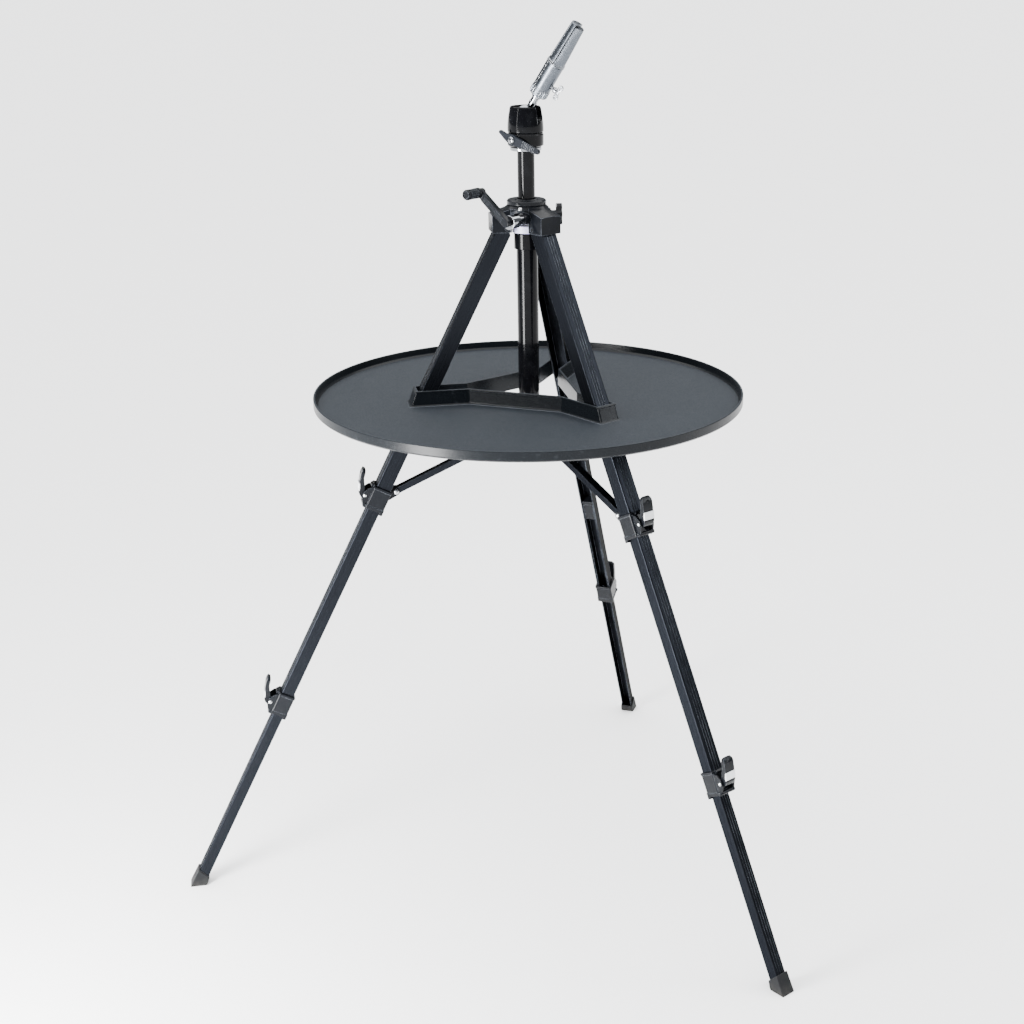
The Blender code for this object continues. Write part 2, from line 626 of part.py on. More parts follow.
def crank_arm():
    """A flat arm with round ends and a pin for the grip."""
    outline = arc((0, 0), 7, 60, 300, 12) + arc((ARM_LENGTH, 0), 5.6, -90, 90, 10)
    shape = prism(outline, ARM_START, ARM_END)
    pin = cylinder(2.6, ARM_END - 2, GRIP_END - 4, 16)
    knuckle = cylinder(5.2, ARM_START - 2, ARM_END - 2.5, 20)
    shape = fuse(shape, placed(pin, Matrix.Translation((ARM_LENGTH, 0, 0))))
    shape = fuse(shape, placed(knuckle, Matrix.Translation((ARM_LENGTH, 0, 0))))
    return cut(shape, cylinder(SHAFT_RADIUS + GAP, 0, 100, 20))


def crank_grip():
    """A fluted handle with a blind bore for its pin."""
    start, end = ARM_END + GAP, GRIP_END
    flute = [GRIP_RADIUS - 0.5 * (i % 2) for i in range(32)]
    rings = []
    for height, inset in ((start, 0.8), (start + 1, 0), (end - 2, 0), (end, 1.8)):
        ring = [(r - inset, 2 * pi * i / len(flute)) for i, r in enumerate(flute)]
        rings.append([(r * cos(a), r * sin(a), height) for r, a in ring])
    return cut(loft(rings), cylinder(2.6 + GAP, start - 5, end - 3.5, 16))


def column_lock_knob():
    """A wing knob whose screw bears on the column."""
    wing = arc((0, 9), 4.5, 20, 160, 6) + [(-3, 4)] + arc((-1, 0), 4.5, 150, 210, 2) + [(-3, -4)]
    wing += arc((0, -9), 4.5, 200, 340, 6) + [(3, -4)] + arc((1, 0), 4.5, -30, 30, 2) + [(3, 4)]
    wing = [(y, -x) for x, y in wing]
    shape = fuse(prism(wing, 38, 45), cylinder(5, 33, 39, 20), cylinder(3, 11.9, 34, 20))
    return shape


# Tray


def star_ring(half, tip, shrink, height):
    """One level of the three-armed opening; shrink pulls the arms' tips towards the column."""
    ring = []
    chord = STAR_OUTER_HALF - half
    for azimuth in sorted(LEG_AZIMUTHS.values()):
        out, side = compass(azimuth), compass(azimuth + 90)
        corner = STAR_BREAK - chord * tan(radians(30))
        for along, across in ((corner, -half), (tip - shrink, -half), (tip - shrink, half), (corner, half)):
            ring.append(tuple(out * along + side * across + UP * height))
    return ring


def star_prism(half, tip, low, high):
    rings = []
    for height in (low, high):
        lean = STAR_LEAN * (height - TRAY_BOTTOM)
        rings.append(star_ring(half, tip, lean, height))
    return loft(rings)


def tray():
    """A shallow rimmed disc with a walled opening that has one arm for each leg."""
    surface = TRAY_BOTTOM + TRAY_PLATE
    rim_top = TRAY_BOTTOM + TRAY_RIM_HEIGHT
    inside = TRAY_RADIUS - TRAY_RIM_WALL
    outline = [(0, TRAY_BOTTOM), (TRAY_RADIUS - 2, TRAY_BOTTOM), (TRAY_RADIUS, TRAY_BOTTOM + 2)]
    outline += [(TRAY_RADIUS, rim_top - 0.8), (TRAY_RADIUS - 0.8, rim_top), (inside + 0.8, rim_top)]
    outline += [(inside, rim_top - 0.8), (inside - 1, surface + 1.5), (inside - 3, surface), (0, surface)]
    shape = lathe(outline, 72)
    wall = star_prism(STAR_OUTER_HALF, STAR_OUTER_TIP, surface - 1, surface + STAR_WALL_HEIGHT)
    opening = star_prism(STAR_INNER_HALF, STAR_INNER_TIP, TRAY_BOTTOM - 5, surface + STAR_WALL_HEIGHT + 5)
    return cut(fuse(shape, wall), opening)


def spreader_hub():
    """A sliding ring on the sheath with a pair of ears for each brace."""
    low, high = HUB_PIVOT_HEIGHT - HUB_BELOW, HUB_PIVOT_HEIGHT + HUB_ABOVE
    shape = tube(SHEATH_RADIUS + 0.5, HUB_RADIUS, low, high, 24)
    ear = [(13.6, -4), (HUB_PIVOT_RADIUS, -4)] + arc((HUB_PIVOT_RADIUS, 0), 4, -70, 70, 6)
    ear += [(HUB_PIVOT_RADIUS, 4), (13.6, 4)]
    for azimuth in LEG_AZIMUTHS.values():
        for sign in (-1, 1):
            sides = sorted((sign * HUB_EAR_INSIDE, sign * HUB_EAR_OUTSIDE))
            plate = prism(ear, *sides, SIDEWAYS)
            turn = Matrix.Translation(UP * HUB_PIVOT_HEIGHT) @ Matrix.Rotation(radians(azimuth), 4, "Z")
            shape = fuse(shape, placed(plate, turn))
    return shape


# Head


def head_collar():
    """The fixed lower half of the head, recessed for the column's end."""
    recess, floor = COLUMN_RADIUS + GAP, COLUMN_TOP + GAP
    outline = [(recess, COLLAR_BOTTOM), (HEAD_RADIUS - 1, COLLAR_BOTTOM), (HEAD_RADIUS, COLLAR_BOTTOM + 1)]
    outline += [(HEAD_RADIUS, COLLAR_TOP - 0.5), (HEAD_RADIUS - 0.5, COLLAR_TOP), (0, COLLAR_TOP)]
    shape = lathe(outline + [(0, floor), (recess, floor)], 32)
    screw_hole = placed(cylinder(2.4 + GAP, 17, 40, 16), tilt_lever_frame())
    return cut(shape, screw_hole)


def head_cup():
    """A tapered cup with a ball socket and a slot that lets the stem lie flat."""
    bottom = COLLAR_TOP + GAP
    outline = [(0, bottom), (HEAD_RADIUS - 0.5, bottom), (HEAD_RADIUS, bottom + 0.6)]
    outline += [(HEAD_RADIUS, bottom + 6), (HEAD_RADIUS - 1.2, bottom + 19)]
    outline += [(CUP_TOP_RADIUS, CUP_TOP - 1.2), (CUP_TOP_RADIUS - 1.2, CUP_TOP)]
    outline += [(CUP_OPENING, CUP_TOP), (CUP_OPENING - 0.8, CUP_TOP - 2), (CUP_OPENING - 0.8, BALL_HEIGHT)]
    socket = BALL_RADIUS + 0.5
    outline.append((socket, BALL_HEIGHT))
    for step in range(1, 4):
        angle = radians(22.5 * step)
        outline.append((socket * cos(angle), BALL_HEIGHT - socket * sin(angle)))
    shape = lathe(outline + [(0, BALL_HEIGHT - socket)], 32)
    slot = [(SLOT_FLOOR + SLOT_HALF_WIDTH, SLOT_HALF_WIDTH), (CUP_TOP + 9, SLOT_HALF_WIDTH)]
    slot += [(CUP_TOP + 9, -SLOT_HALF_WIDTH), (SLOT_FLOOR + SLOT_HALF_WIDTH, -SLOT_HALF_WIDTH)]
    slot += arc((SLOT_FLOOR + SLOT_HALF_WIDTH, 0), SLOT_HALF_WIDTH, -90, -270, 6)[1:-1]
    outline_yz = [(across, height) for height, across in slot]
    cutter = prism(outline_yz, 8, 40, ALONG_X)
    return cut(shape, placed(cutter, Matrix.Rotation(radians(SLOT_AZIMUTH), 4, "Z")))


def plug_frame():
    """Z runs along the plug from the ball's centre, X towards the thin rail on its upper side."""
    lean = compass(SLOT_AZIMUTH)
    along = lean * sin(PLUG_TILT) + UP * cos(PLUG_TILT)
    rail_side = UP * sin(PLUG_TILT) - lean * cos(PLUG_TILT)
    return frame(UP * BALL_HEIGHT, rail_side, along.cross(rail_side))


def ball_stem():
    outline = [(0, -BALL_RADIUS)]
    stem_angle = acos(STEM_RADIUS / BALL_RADIUS)
    for step in range(1, 9):
        angle = -pi / 2 + (pi / 2 + stem_angle) * step / 8
        outline.append((BALL_RADIUS * cos(angle), BALL_RADIUS * sin(angle)))
    outline += [(STEM_RADIUS, PLUG_RING_START - GAP), (0, PLUG_RING_START - GAP)]
    return lathe(outline, 20)


def plug_outline(start):
    outline = [(0, start), (PLUG_RADIUS, start), (PLUG_RADIUS, PLUG_STEP - 0.6)]
    outline.append((PLUG_TAPER_RADIUS, PLUG_STEP))
    return outline + [(PLUG_END_RADIUS, PLUG_END - 1), (PLUG_END_RADIUS - 1, PLUG_END), (0, PLUG_END)]


def plug_base():
    """The ring on the stem, the thin rail that stands on it and the fixed half of the taper."""
    shape = lathe(plug_outline(PLUG_RING_START), 28)
    slot = box((-20, -20, PLUG_RING_END), (RAIL_FACE, 20, PLUG_STEP - 1))
    split = box((-20, -20, PLUG_STEP - 2), (TAPER_BASE_FACE, 20, PLUG_END + 10))
    return cut(shape, slot, split)


def plug_jaw():
    """The larger half of the plug, which the wing screw pushes away from the rail."""
    shape = lathe(plug_outline(PLUG_RING_END + GAP), 28)
    slot = box((JAW_FACE, -20, 0), (20, 20, PLUG_END + 10))
    split = box((TAPER_JAW_FACE, -20, PLUG_STEP - 2), (20, 20, PLUG_END + 10))
    end = box((-20, -20, JAW_END), (20, 20, PLUG_END + 10))
    bore = placed(cylinder(2.9, -10, 40, 16), wing_turn())
    return cut(shape, slot, split, end, bore)


def wing_turn():
    """In the plug's frame: Z runs out along the wing screw from the plug's axis."""
    return frame((0, 0, WING_ALONG), (0, 0, 1), (0, 1, 0))


def wing_screw():
    """A threaded stem with two butterfly wings."""
    wing = arc((6.5, 1), 3.4, -130, 130, 8) + [(2, 2.2), (-2, 2.2)] + arc((-6.5, 1), 3.4, 50, 310, 8)
    wing += [(-2, -2.2), (2, -2.2)]
    blades = placed(prism(wing, -1.1, 1.1, SIDEWAYS), Matrix.Translation((0, 0, WING_REACH)))
    hub = cylinder(3.6, PLUG_RADIUS + JAW_TRAVEL + 0.6, WING_REACH - 1, 16)
    return fuse(cylinder(2.5, GAP - RAIL_FACE, WING_REACH - 3, 16), hub, blades)


def tilt_lever_frame():
    """Z runs out of the collar along the lever's screw, X straight up."""
    return axis_frame(UP * TILT_LEVER_HEIGHT, compass(TILT_LEVER_AZIMUTH))


def tilt_lever():
    """A two-armed thumb lever: a long ribbed arm that slopes down and a short curled one."""
    long_arm = [(14, 5.6), (30, 4.4), (40, 4.2)] + arc((41, 1), 3.4, 60, -60, 4) + [(38, -2.6), (16, -4.4)]
    short_arm = [(-12, -3), (-19, 0.4)] + arc((-20, 3), 2.4, 230, 90, 4) + [(-12, 4.6)]
    outline = arc((0, 0), 7, 120, 60, 3) + long_arm + arc((0, 0), 7, -50, -125, 4) + short_arm
    shape = prism(outline, 23.2, 27.2)
    return cut(shape, cylinder(2.4 + GAP, 0, 60, 16))


def lever_screw():
    outline = [(0, 17.5), (2.4, 17.5), (2.4, 27.5), (4, 27.5), (4, 28.8), (2.8, 29.8), (0, 29.8)]
    return lathe(outline, 20)


# Assembly


def build_root(stand):
    part("shoulder_casting", shoulder_casting(), BLACK_PLASTIC, stand)
    part("shoulder_cap", shoulder_cap(), BLACK_PLASTIC, stand)
    part("column_sheath", tube(GUIDE_BORE, SHEATH_RADIUS, SHEATH_BOTTOM, SHEATH_TOP), GLOSS_BLACK, stand)
    bushing = tube(SHEATH_RADIUS + GAP, BUSHING_RADIUS, BUSHING_BOTTOM, SHEATH_TOP)
    part("sheath_bushing", bushing, GLOSS_BLACK, stand)
    part("sheath_ring", tube(GUIDE_BORE, RING_RADIUS, RING_BOTTOM, RING_TOP), PALE_PLASTIC, stand)
    part("sheath_foot", sheath_foot(), BLACK_PLASTIC, stand)
    part("crank_bearing", crank_bearing(), BLACK_PLASTIC, stand, crank_frame())
    reach = LOBE_HALF_WIDTH - 0.2
    for name, azimuth in LEG_AZIMUTHS.items():
        pin = crosswise(cylinder(PIVOT_PIN_RADIUS, -reach, reach, 16))
        out = compass(azimuth)
        origin = out * PIVOT_RADIUS + UP * PIVOT_HEIGHT
        part("pivot_pin_" + name, pin, STEEL, stand, frame(origin, out, UP.cross(out)))


def build_column(stand):
    part("center_column", center_column(), GLOSS_BLACK, stand)
    part("column_rack", column_rack(), STEEL, stand)
    part("head_collar", head_collar(), BLACK_PLASTIC, stand)
    part("lever_screw", lever_screw(), CHROME, stand, tilt_lever_frame())
    slope = Matrix.Rotation(-pi / 2 - TILT_LEVER_SLOPE, 4, "Z")
    part("tilt_lever", tilt_lever(), BLACK_PLASTIC, stand, tilt_lever_frame() @ slope)
    part("head_cup", head_cup(), GLOSS_BLACK, stand)
    part("ball_stem", ball_stem(), CHROME, stand, plug_frame())
    part("plug_base", plug_base(), CAST_ZINC, stand, plug_frame())
    part("plug_jaw", plug_jaw(), CAST_ZINC, stand, plug_frame())
    part("wing_screw", wing_screw(), STEEL, stand, plug_frame() @ wing_turn())


def build_crank(stand):
    part("crank_shaft", crank_shaft(), CHROME, stand, crank_frame())
    part("crank_arm", crank_arm(), BLACK_PLASTIC, stand, crank_arm_turn())
    grip_turn = crank_arm_turn() @ Matrix.Translation((ARM_LENGTH, 0, 0))
    part("crank_grip", crank_grip(), BLACK_PLASTIC, stand, grip_turn)
    part("column_lock_knob", column_lock_knob(), BLACK_PLASTIC, stand, lock_frame())


def build():
    clear_scene()
    stand = empty("column_axis", Matrix.Translation((0, COLUMN_Y, 0)))
    build_root(stand)
    build_column(stand)
    build_crank(stand)
    part("tray", tray(), TRAY_PLASTIC, stand)
    part("spreader_hub", spreader_hub(), BLACK_PLASTIC, stand)
    for name in LEG_AZIMUTHS:
        build_leg(name, stand)


build()
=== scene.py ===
"""Looks for the folding salon tripod: black anodised legs, gloss column, zinc clamp plug and charcoal tray.

Shapes are drawn in millimetres about the column axis, in the same frame as the CAD, and each piece
rides on the CAD body that it belongs to.
"""

from math import acos, atan2, cos, degrees, pi, radians, sin, sqrt, tan

import bmesh
import bpy
from mathutils import Matrix, Vector


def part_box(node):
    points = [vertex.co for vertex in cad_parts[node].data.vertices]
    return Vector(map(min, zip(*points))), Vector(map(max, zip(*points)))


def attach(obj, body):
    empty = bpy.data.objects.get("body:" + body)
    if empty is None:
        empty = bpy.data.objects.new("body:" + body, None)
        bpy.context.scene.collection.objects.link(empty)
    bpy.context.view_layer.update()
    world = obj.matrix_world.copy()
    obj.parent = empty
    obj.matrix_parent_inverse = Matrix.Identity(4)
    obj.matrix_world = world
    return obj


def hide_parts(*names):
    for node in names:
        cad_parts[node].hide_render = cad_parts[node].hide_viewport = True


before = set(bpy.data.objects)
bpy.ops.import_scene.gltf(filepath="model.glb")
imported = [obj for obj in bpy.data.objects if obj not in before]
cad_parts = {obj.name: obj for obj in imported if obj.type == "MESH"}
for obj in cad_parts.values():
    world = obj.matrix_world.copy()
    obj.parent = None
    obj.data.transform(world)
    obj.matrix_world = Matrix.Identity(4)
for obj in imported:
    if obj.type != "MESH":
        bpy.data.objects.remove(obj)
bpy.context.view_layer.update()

MILLIMETRE = 0.001
GAP = 0.3
UP = Vector((0, 0, 1))

# Legs
LEG_AZIMUTHS = {"rear": 90, "left": 210, "right": 330}
LOWER_CLAMP_CENTRES = {"rear": 701.6, "left": 707.7, "right": 728.9}
LEG_TILT = radians(26.72)
PIVOT_RADIUS, PIVOT_HEIGHT = 28, 897
PIVOT_PIN_RADIUS, PIN_REACH = 2.5, 15.8
SECTION_WALL = 1.3
UPPER_SIZES = (24, 19.4, 10.9)
MID_SIZES = (20, 17, 9.3)
LOWER_SIZES = (16.2, 14.8, 7.7)
UPPER_TOP, UPPER_END = -5, 401
MID_LENGTH, MID_PLUG, MID_PLUG_INNER = 457, 16, -2
LOWER_TOP, LOWER_END = 505, 996
GROOVE_SPACING = 4
PAD_FACE = -5.2

# Clamps and levers
UPPER_CLAMP_CENTRE = 390.3
CLAMP_TOP, CLAMP_END = -17.5, 14.5
CLAMP_WALL, CLAMP_FLOOR = 3, 3.5
EAR_INSIDE, EAR_OUTSIDE = 8.8, 11.6
LEVER_PIN_HEIGHT, LEVER_PIN_RADIUS = 6, 1.4
LEVER_HALF_WIDTH = 8.2

# Spreader
BRACE_PIVOT_ALONG, BRACE_PIVOT_OUT = 371, -16.5
BRACE_HALF_WIDTH, BRACE_PIN_RADIUS = 6, 2
HUB_PIVOT_RADIUS, HUB_PIVOT_HEIGHT = 32, 624.9

# Column, sheath and shoulder
COLUMN_RADIUS, COLUMN_BORE = 10.8, 9.2
COLUMN_BOTTOM, COLUMN_TOP = 700, 1002.6
GUIDE_BORE = 11.3
SHEATH_RADIUS, SHEATH_BOTTOM, SHEATH_TOP = 13.5, 606, 889.6
BUSHING_RADIUS, BUSHING_BOTTOM = 16.5, 869
RING_RADIUS, RING_BOTTOM, RING_TOP = 18.4, 889.9, 899.2
CASTING_BOTTOM = 890
CAP_RADIUS, CAP_BOTTOM, CAP_TOP = 24.9, 925, 931
WINDOW_AZIMUTH, WINDOW_HALF_WIDTH, WINDOW_SPRING = 270, 12, 906
RACK_AZIMUTH, RACK_BOTTOM, RACK_TOP = 342, 752, 929
CRANK_AZIMUTH, CRANK_HEIGHT, CRANK_OFFSET = 252, 910, 16.4
PINION_TEETH, SHAFT_RADIUS = 13, 3.9
ARM_START, ARM_END = 57.4, 62.4
ARM_LENGTH, ARM_RISE = 53.5, radians(39)
GRIP_RADIUS, GRIP_END = 6.5, 88.5

# Tray
TRAY_RADIUS, TRAY_BOTTOM, TRAY_PLATE = 280, 671.3, 2.5
TRAY_RIM_HEIGHT, TRAY_RIM_WALL = 13.4, 3
STAR_WALL_HEIGHT, STAR_BREAK, STAR_LEAN = 20, 81, 0.36
STAR_OUTER_HALF, STAR_INNER_HALF = 15, 12.8
STAR_OUTER_TIP, STAR_INNER_TIP = 157.6, 155

# Head
HEAD_RADIUS = 22.5
COLLAR_BOTTOM, COLLAR_TOP = 995.7, 1012.6
CUP_TOP, CUP_TOP_RADIUS, CUP_OPENING = 1044, 19.2, 16.8
BALL_HEIGHT, BALL_RADIUS = 1032.6, 13
SLOT_AZIMUTH, SLOT_HALF_WIDTH, SLOT_FLOOR = 350, 5.5, 1027
STEM_RADIUS = 4.5
PLUG_TILT = radians(34.7)
RING_START, RING_END = 32, 42
PLUG_STEP, PLUG_END, JAW_END = 79.5, 132, 129
PLUG_RADIUS, TAPER_RADIUS, TIP_RADIUS = 11.4, 10.85, 8.9
RAIL_FACE, JAW_FACE = 5.4, 4.4
TAPER_BASE_FACE, TAPER_JAW_FACE = -1, -2
WING_ALONG, WING_REACH = 50, 21
TILT_LEVER_AZIMUTH, TILT_LEVER_HEIGHT = 250, 1005
TILT_LEVER_SLOPE = 17

# Studio, in metres, watts and degrees
FLOOR_REACH, VIEW_REACH = 60, 120
PALE_BLUE = (0.93, 0.96, 1.0)
CEILING_STRENGTH, CEILING_SPREAD, WORLD_STRENGTH = 9.5, 110, 0.3
CAMERA_AZIMUTH, CAMERA_PITCH = 107.82, -21.1365
CAMERA_X, CAMERA_BEHIND_COLUMN, CAMERA_HEIGHT = 0.7205, 1.9795, 1.2446
CAMERA_LENS, CAMERA_SHIFT = 58.08, (-0.0764, 0.0566)

# Turns an outline drawn in XY and extruded in Z so that it is extruded along X, or sideways along Y.
ALONG_X = Matrix(((0, 0, 1, 0), (1, 0, 0, 0), (0, 1, 0, 0), (0, 0, 0, 1)))
SIDEWAYS = Matrix(((1, 0, 0, 0), (0, 0, -1, 0), (0, 1, 0, 0), (0, 0, 0, 1)))

sheath_low, sheath_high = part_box("column_sheath")
COLUMN_Y = (sheath_low.y + sheath_high.y) / 2 / MILLIMETRE
STAND = Matrix.Translation((0, COLUMN_Y, 0))


# Outlines and shapes


def near(x0, y0, *points):
    """The points, each given from (x0, y0)."""
    return [(x0 + x, y0 + y) for x, y in points]


def corners(left, low, right, high):
    return [(left, low), (right, low), (right, high), (left, high)]


def rounded(outline, radius, steps=3):
    """The closed outline with its corners filleted; a point on the axis keeps its corner."""
    result = []
    for i, point in enumerate(outline):
        here = Vector(point)
        before, after = Vector(outline[i - 1]) - here, Vector(outline[(i + 1) % len(outline)]) - here
        turn = before.angle(after, pi)
        if here.x == 0 or abs(turn - pi) < radians(8):
            result.append(tuple(here))
            continue
        reach = min(radius / tan(turn / 2), before.length * 0.45, after.length * 0.45)
        start, end = here + before.normalized() * reach, here + after.normalized() * reach
        for step in range(steps + 1):
            t = step / steps
            result.append(tuple(start * (1 - t) ** 2 + here * 2 * t * (1 - t) + end * t * t))
    return result


def loft(rings):
    shape = bmesh.new()
    loops = [[shape.verts.new(point) for point in ring] for ring in rings]
    count = len(loops[0])
    for lower, upper in zip(loops, loops[1:]):
        for i in range(count):
            shape.faces.new((lower[i], lower[(i + 1) % count], upper[(i + 1) % count], upper[i]))
    shape.faces.new(reversed(loops[0]))
    shape.faces.new(loops[-1])
    bmesh.ops.recalc_face_normals(shape, faces=shape.faces)
    return shape


def prism(outline, low, high, turn=None):
    shape = loft([[(x, y, height) for x, y in outline] for height in (low, high)])
    return placed(shape, turn) if turn else shape


def bevel(shape, edges, width):
    bmesh.ops.bevel(
        shape, geom=edges, offset=width, segments=3, profile=0.5, affect="EDGES", clamp_overlap=True
    )


def soft_prism(outline, low, high, edge, turn=None):
    """A prism with filleted corners and rounded end edges."""
    shape = prism(rounded(outline, edge * 1.5), low, high)
    ends = [e for e in shape.edges if abs(e.verts[0].co.z - e.verts[1].co.z) < 1e-6]
    bevel(shape, ends, edge)
    return placed(shape, turn) if turn else shape


def box(low, high):
    return prism(corners(*low[:2], *high[:2]), low[2], high[2])


def lathe(outline, segments, ripple=None):
    """Turn a counterclockwise (radius, height) outline about Z; ripple gives a change of radius."""
    shape = bmesh.new()
    rings = []
    for radius, height in outline:
        count = segments if radius > 1e-9 else 1
        ring = []
        for i in range(count):
            reach = radius + (ripple(i, radius, height) if ripple and count > 1 else 0)
            angle = 2 * pi * i / count
            ring.append(shape.verts.new((reach * cos(angle), reach * sin(angle), height)))
        rings.append(ring)
    for lower, upper in zip(rings, rings[1:] + rings[:1]):
        if len(lower) == len(upper) == 1:
            continue
        for i in range(segments):
            face = [lower[i % len(lower)], lower[(i + 1) % len(lower)]]
            face += [upper[(i + 1) % len(upper)], upper[i % len(upper)]]
            shape.faces.new(list(dict.fromkeys(face)))
    return shape


def soft_lathe(outline, edge, segments=72):
    return lathe(rounded(outline, edge), segments)


def cylinder(radius, low, high, segments=40):
    return lathe(corners(0, low, radius, high), segments)


def soft_tube(bore, radius, low, high, edge=0.5, segments=96):
    return soft_lathe(corners(bore, low, radius, high), edge, segments)


def shift(x, y, z):
    return Matrix.Translation((x, y, z))


def spin(angle, axis="Z"):
    return Matrix.Rotation(radians(angle), 4, axis)


def placed(shape, matrix):
    shape.transform(matrix)
    return shape


def crosswise(shape, centre=(0, 0, 0)):
    return placed(shape, shift(*centre) @ spin(90, "X"))


def arc(centre, radius, start, end, steps):
    angles = [radians(start + (end - start) * i / steps) for i in range(steps + 1)]
    return [(centre[0] + radius * cos(a), centre[1] + radius * sin(a)) for a in angles]


def bare_object(shape):
    mesh = bpy.data.meshes.new("shape")
    shape.to_mesh(mesh)
    shape.free()
    return linked("shape", mesh)


def boolean(shape, tool, operation):
    """Combine two shapes with one exact Boolean and use both of them up."""
    base = bare_object(shape)
    other = bare_object(tool)
    step = base.modifiers.new("boolean", "BOOLEAN")
    step.solver = "EXACT"
    step.operation = operation
    step.object = other
    graph = bpy.context.evaluated_depsgraph_get()
    mesh = bpy.data.meshes.new_from_object(base.evaluated_get(graph))
    result = bmesh.new()
    result.from_mesh(mesh)
    for item in (base, other):
        spare = item.data
        bpy.data.objects.remove(item)
        bpy.data.meshes.remove(spare)
    bpy.data.meshes.remove(mesh)
    return result


def cut(shape, *tools):
    for tool in tools:
        shape = boolean(shape, tool, "DIFFERENCE")
    return shape


def fuse(shape, *tools):
    for tool in tools:
        shape = boolean(shape, tool, "UNION")
    return shape


def refined(node, edge, fold=30):
    """A copy of a CAD node, in millimetres about the column, with its sharp edges rounded."""
    shape = bmesh.new()
    shape.from_mesh(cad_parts[node].data)
    shape.transform(STAND.inverted() @ Matrix.Scale(1 / MILLIMETRE, 4))
    bmesh.ops.remove_doubles(shape, verts=shape.verts, dist=0.001)
    bmesh.ops.dissolve_limit(shape, angle_limit=radians(0.4), verts=shape.verts, edges=shape.edges)
    sharp = [e for e in shape.edges if e.calc_face_angle(0) > radians(fold) and e.calc_length() > edge]
    bevel(shape, sharp, edge)
    return shape


# Frames


def axes(origin, x_axis, y_axis):
    x_axis = Vector(x_axis).normalized()
    y_axis = Vector(y_axis).normalized()
    turn = Matrix((x_axis, y_axis, x_axis.cross(y_axis))).transposed().to_4x4()
    return Matrix.Translation(Vector(origin)) @ turn


def compass(azimuth):
    angle = radians(azimuth)
    return Vector((cos(angle), sin(angle), 0))


def leg_frame(azimuth):
    """X runs down the leg, Y across it and Z out of its outer face, from the leg's pivot."""
    outward = compass(azimuth)
    along = outward * sin(LEG_TILT) - UP * cos(LEG_TILT)
    face = outward * cos(LEG_TILT) + UP * sin(LEG_TILT)
    return axes(outward * PIVOT_RADIUS + UP * PIVOT_HEIGHT, along, face.cross(along))


def ring_frame(azimuth, radius, height):
    """X points outwards and Y sideways, at a place round the column."""
    out = compass(azimuth)
    return axes(out * radius + UP * height, out, UP.cross(out))


def axis_frame(origin, direction):
    """Z runs along the direction and X is as near to straight up as it can be."""
    z_axis = Vector(direction).normalized()
    side = z_axis.cross(UP).normalized()
    return axes(origin, side.cross(z_axis), side)


def crank_frame():
    origin = compass(RACK_AZIMUTH) * CRANK_OFFSET + UP * CRANK_HEIGHT
    return axis_frame(origin, compass(CRANK_AZIMUTH))


def crank_arm_turn():
    reach = compass(CRANK_AZIMUTH - 90) * cos(ARM_RISE) + UP * sin(ARM_RISE)
    return axes(crank_frame().translation, reach, compass(CRANK_AZIMUTH).cross(reach))


def plug_frame():
    """Z runs along the plug from the ball's centre, X towards the thin rail on its upper side."""
    lean = compass(SLOT_AZIMUTH)
    along = lean * sin(PLUG_TILT) + UP * cos(PLUG_TILT)
    rail_side = UP * sin(PLUG_TILT) - lean * cos(PLUG_TILT)
    return axes(UP * BALL_HEIGHT, rail_side, along.cross(rail_side))


def wing_turn():
    return axes((0, 0, WING_ALONG), (0, 0, 1), (0, 1, 0))


def tilt_lever_frame():
    return axis_frame(UP * TILT_LEVER_HEIGHT, compass(TILT_LEVER_AZIMUTH))


# Materials

# Colour sockets of Blender's Mix node, whose names repeat for each data type.
MIX_FIRST, MIX_SECOND, MIX_COLOUR = 6, 7, 2
# The cosine between the true and the rounded normal, from where the edge mark starts to where it is full;
# finishes lighten these edges as rubbed wear and as a painted highlight.
EDGE_MARK_START, EDGE_MARK_FULL = 0.985, 0.88


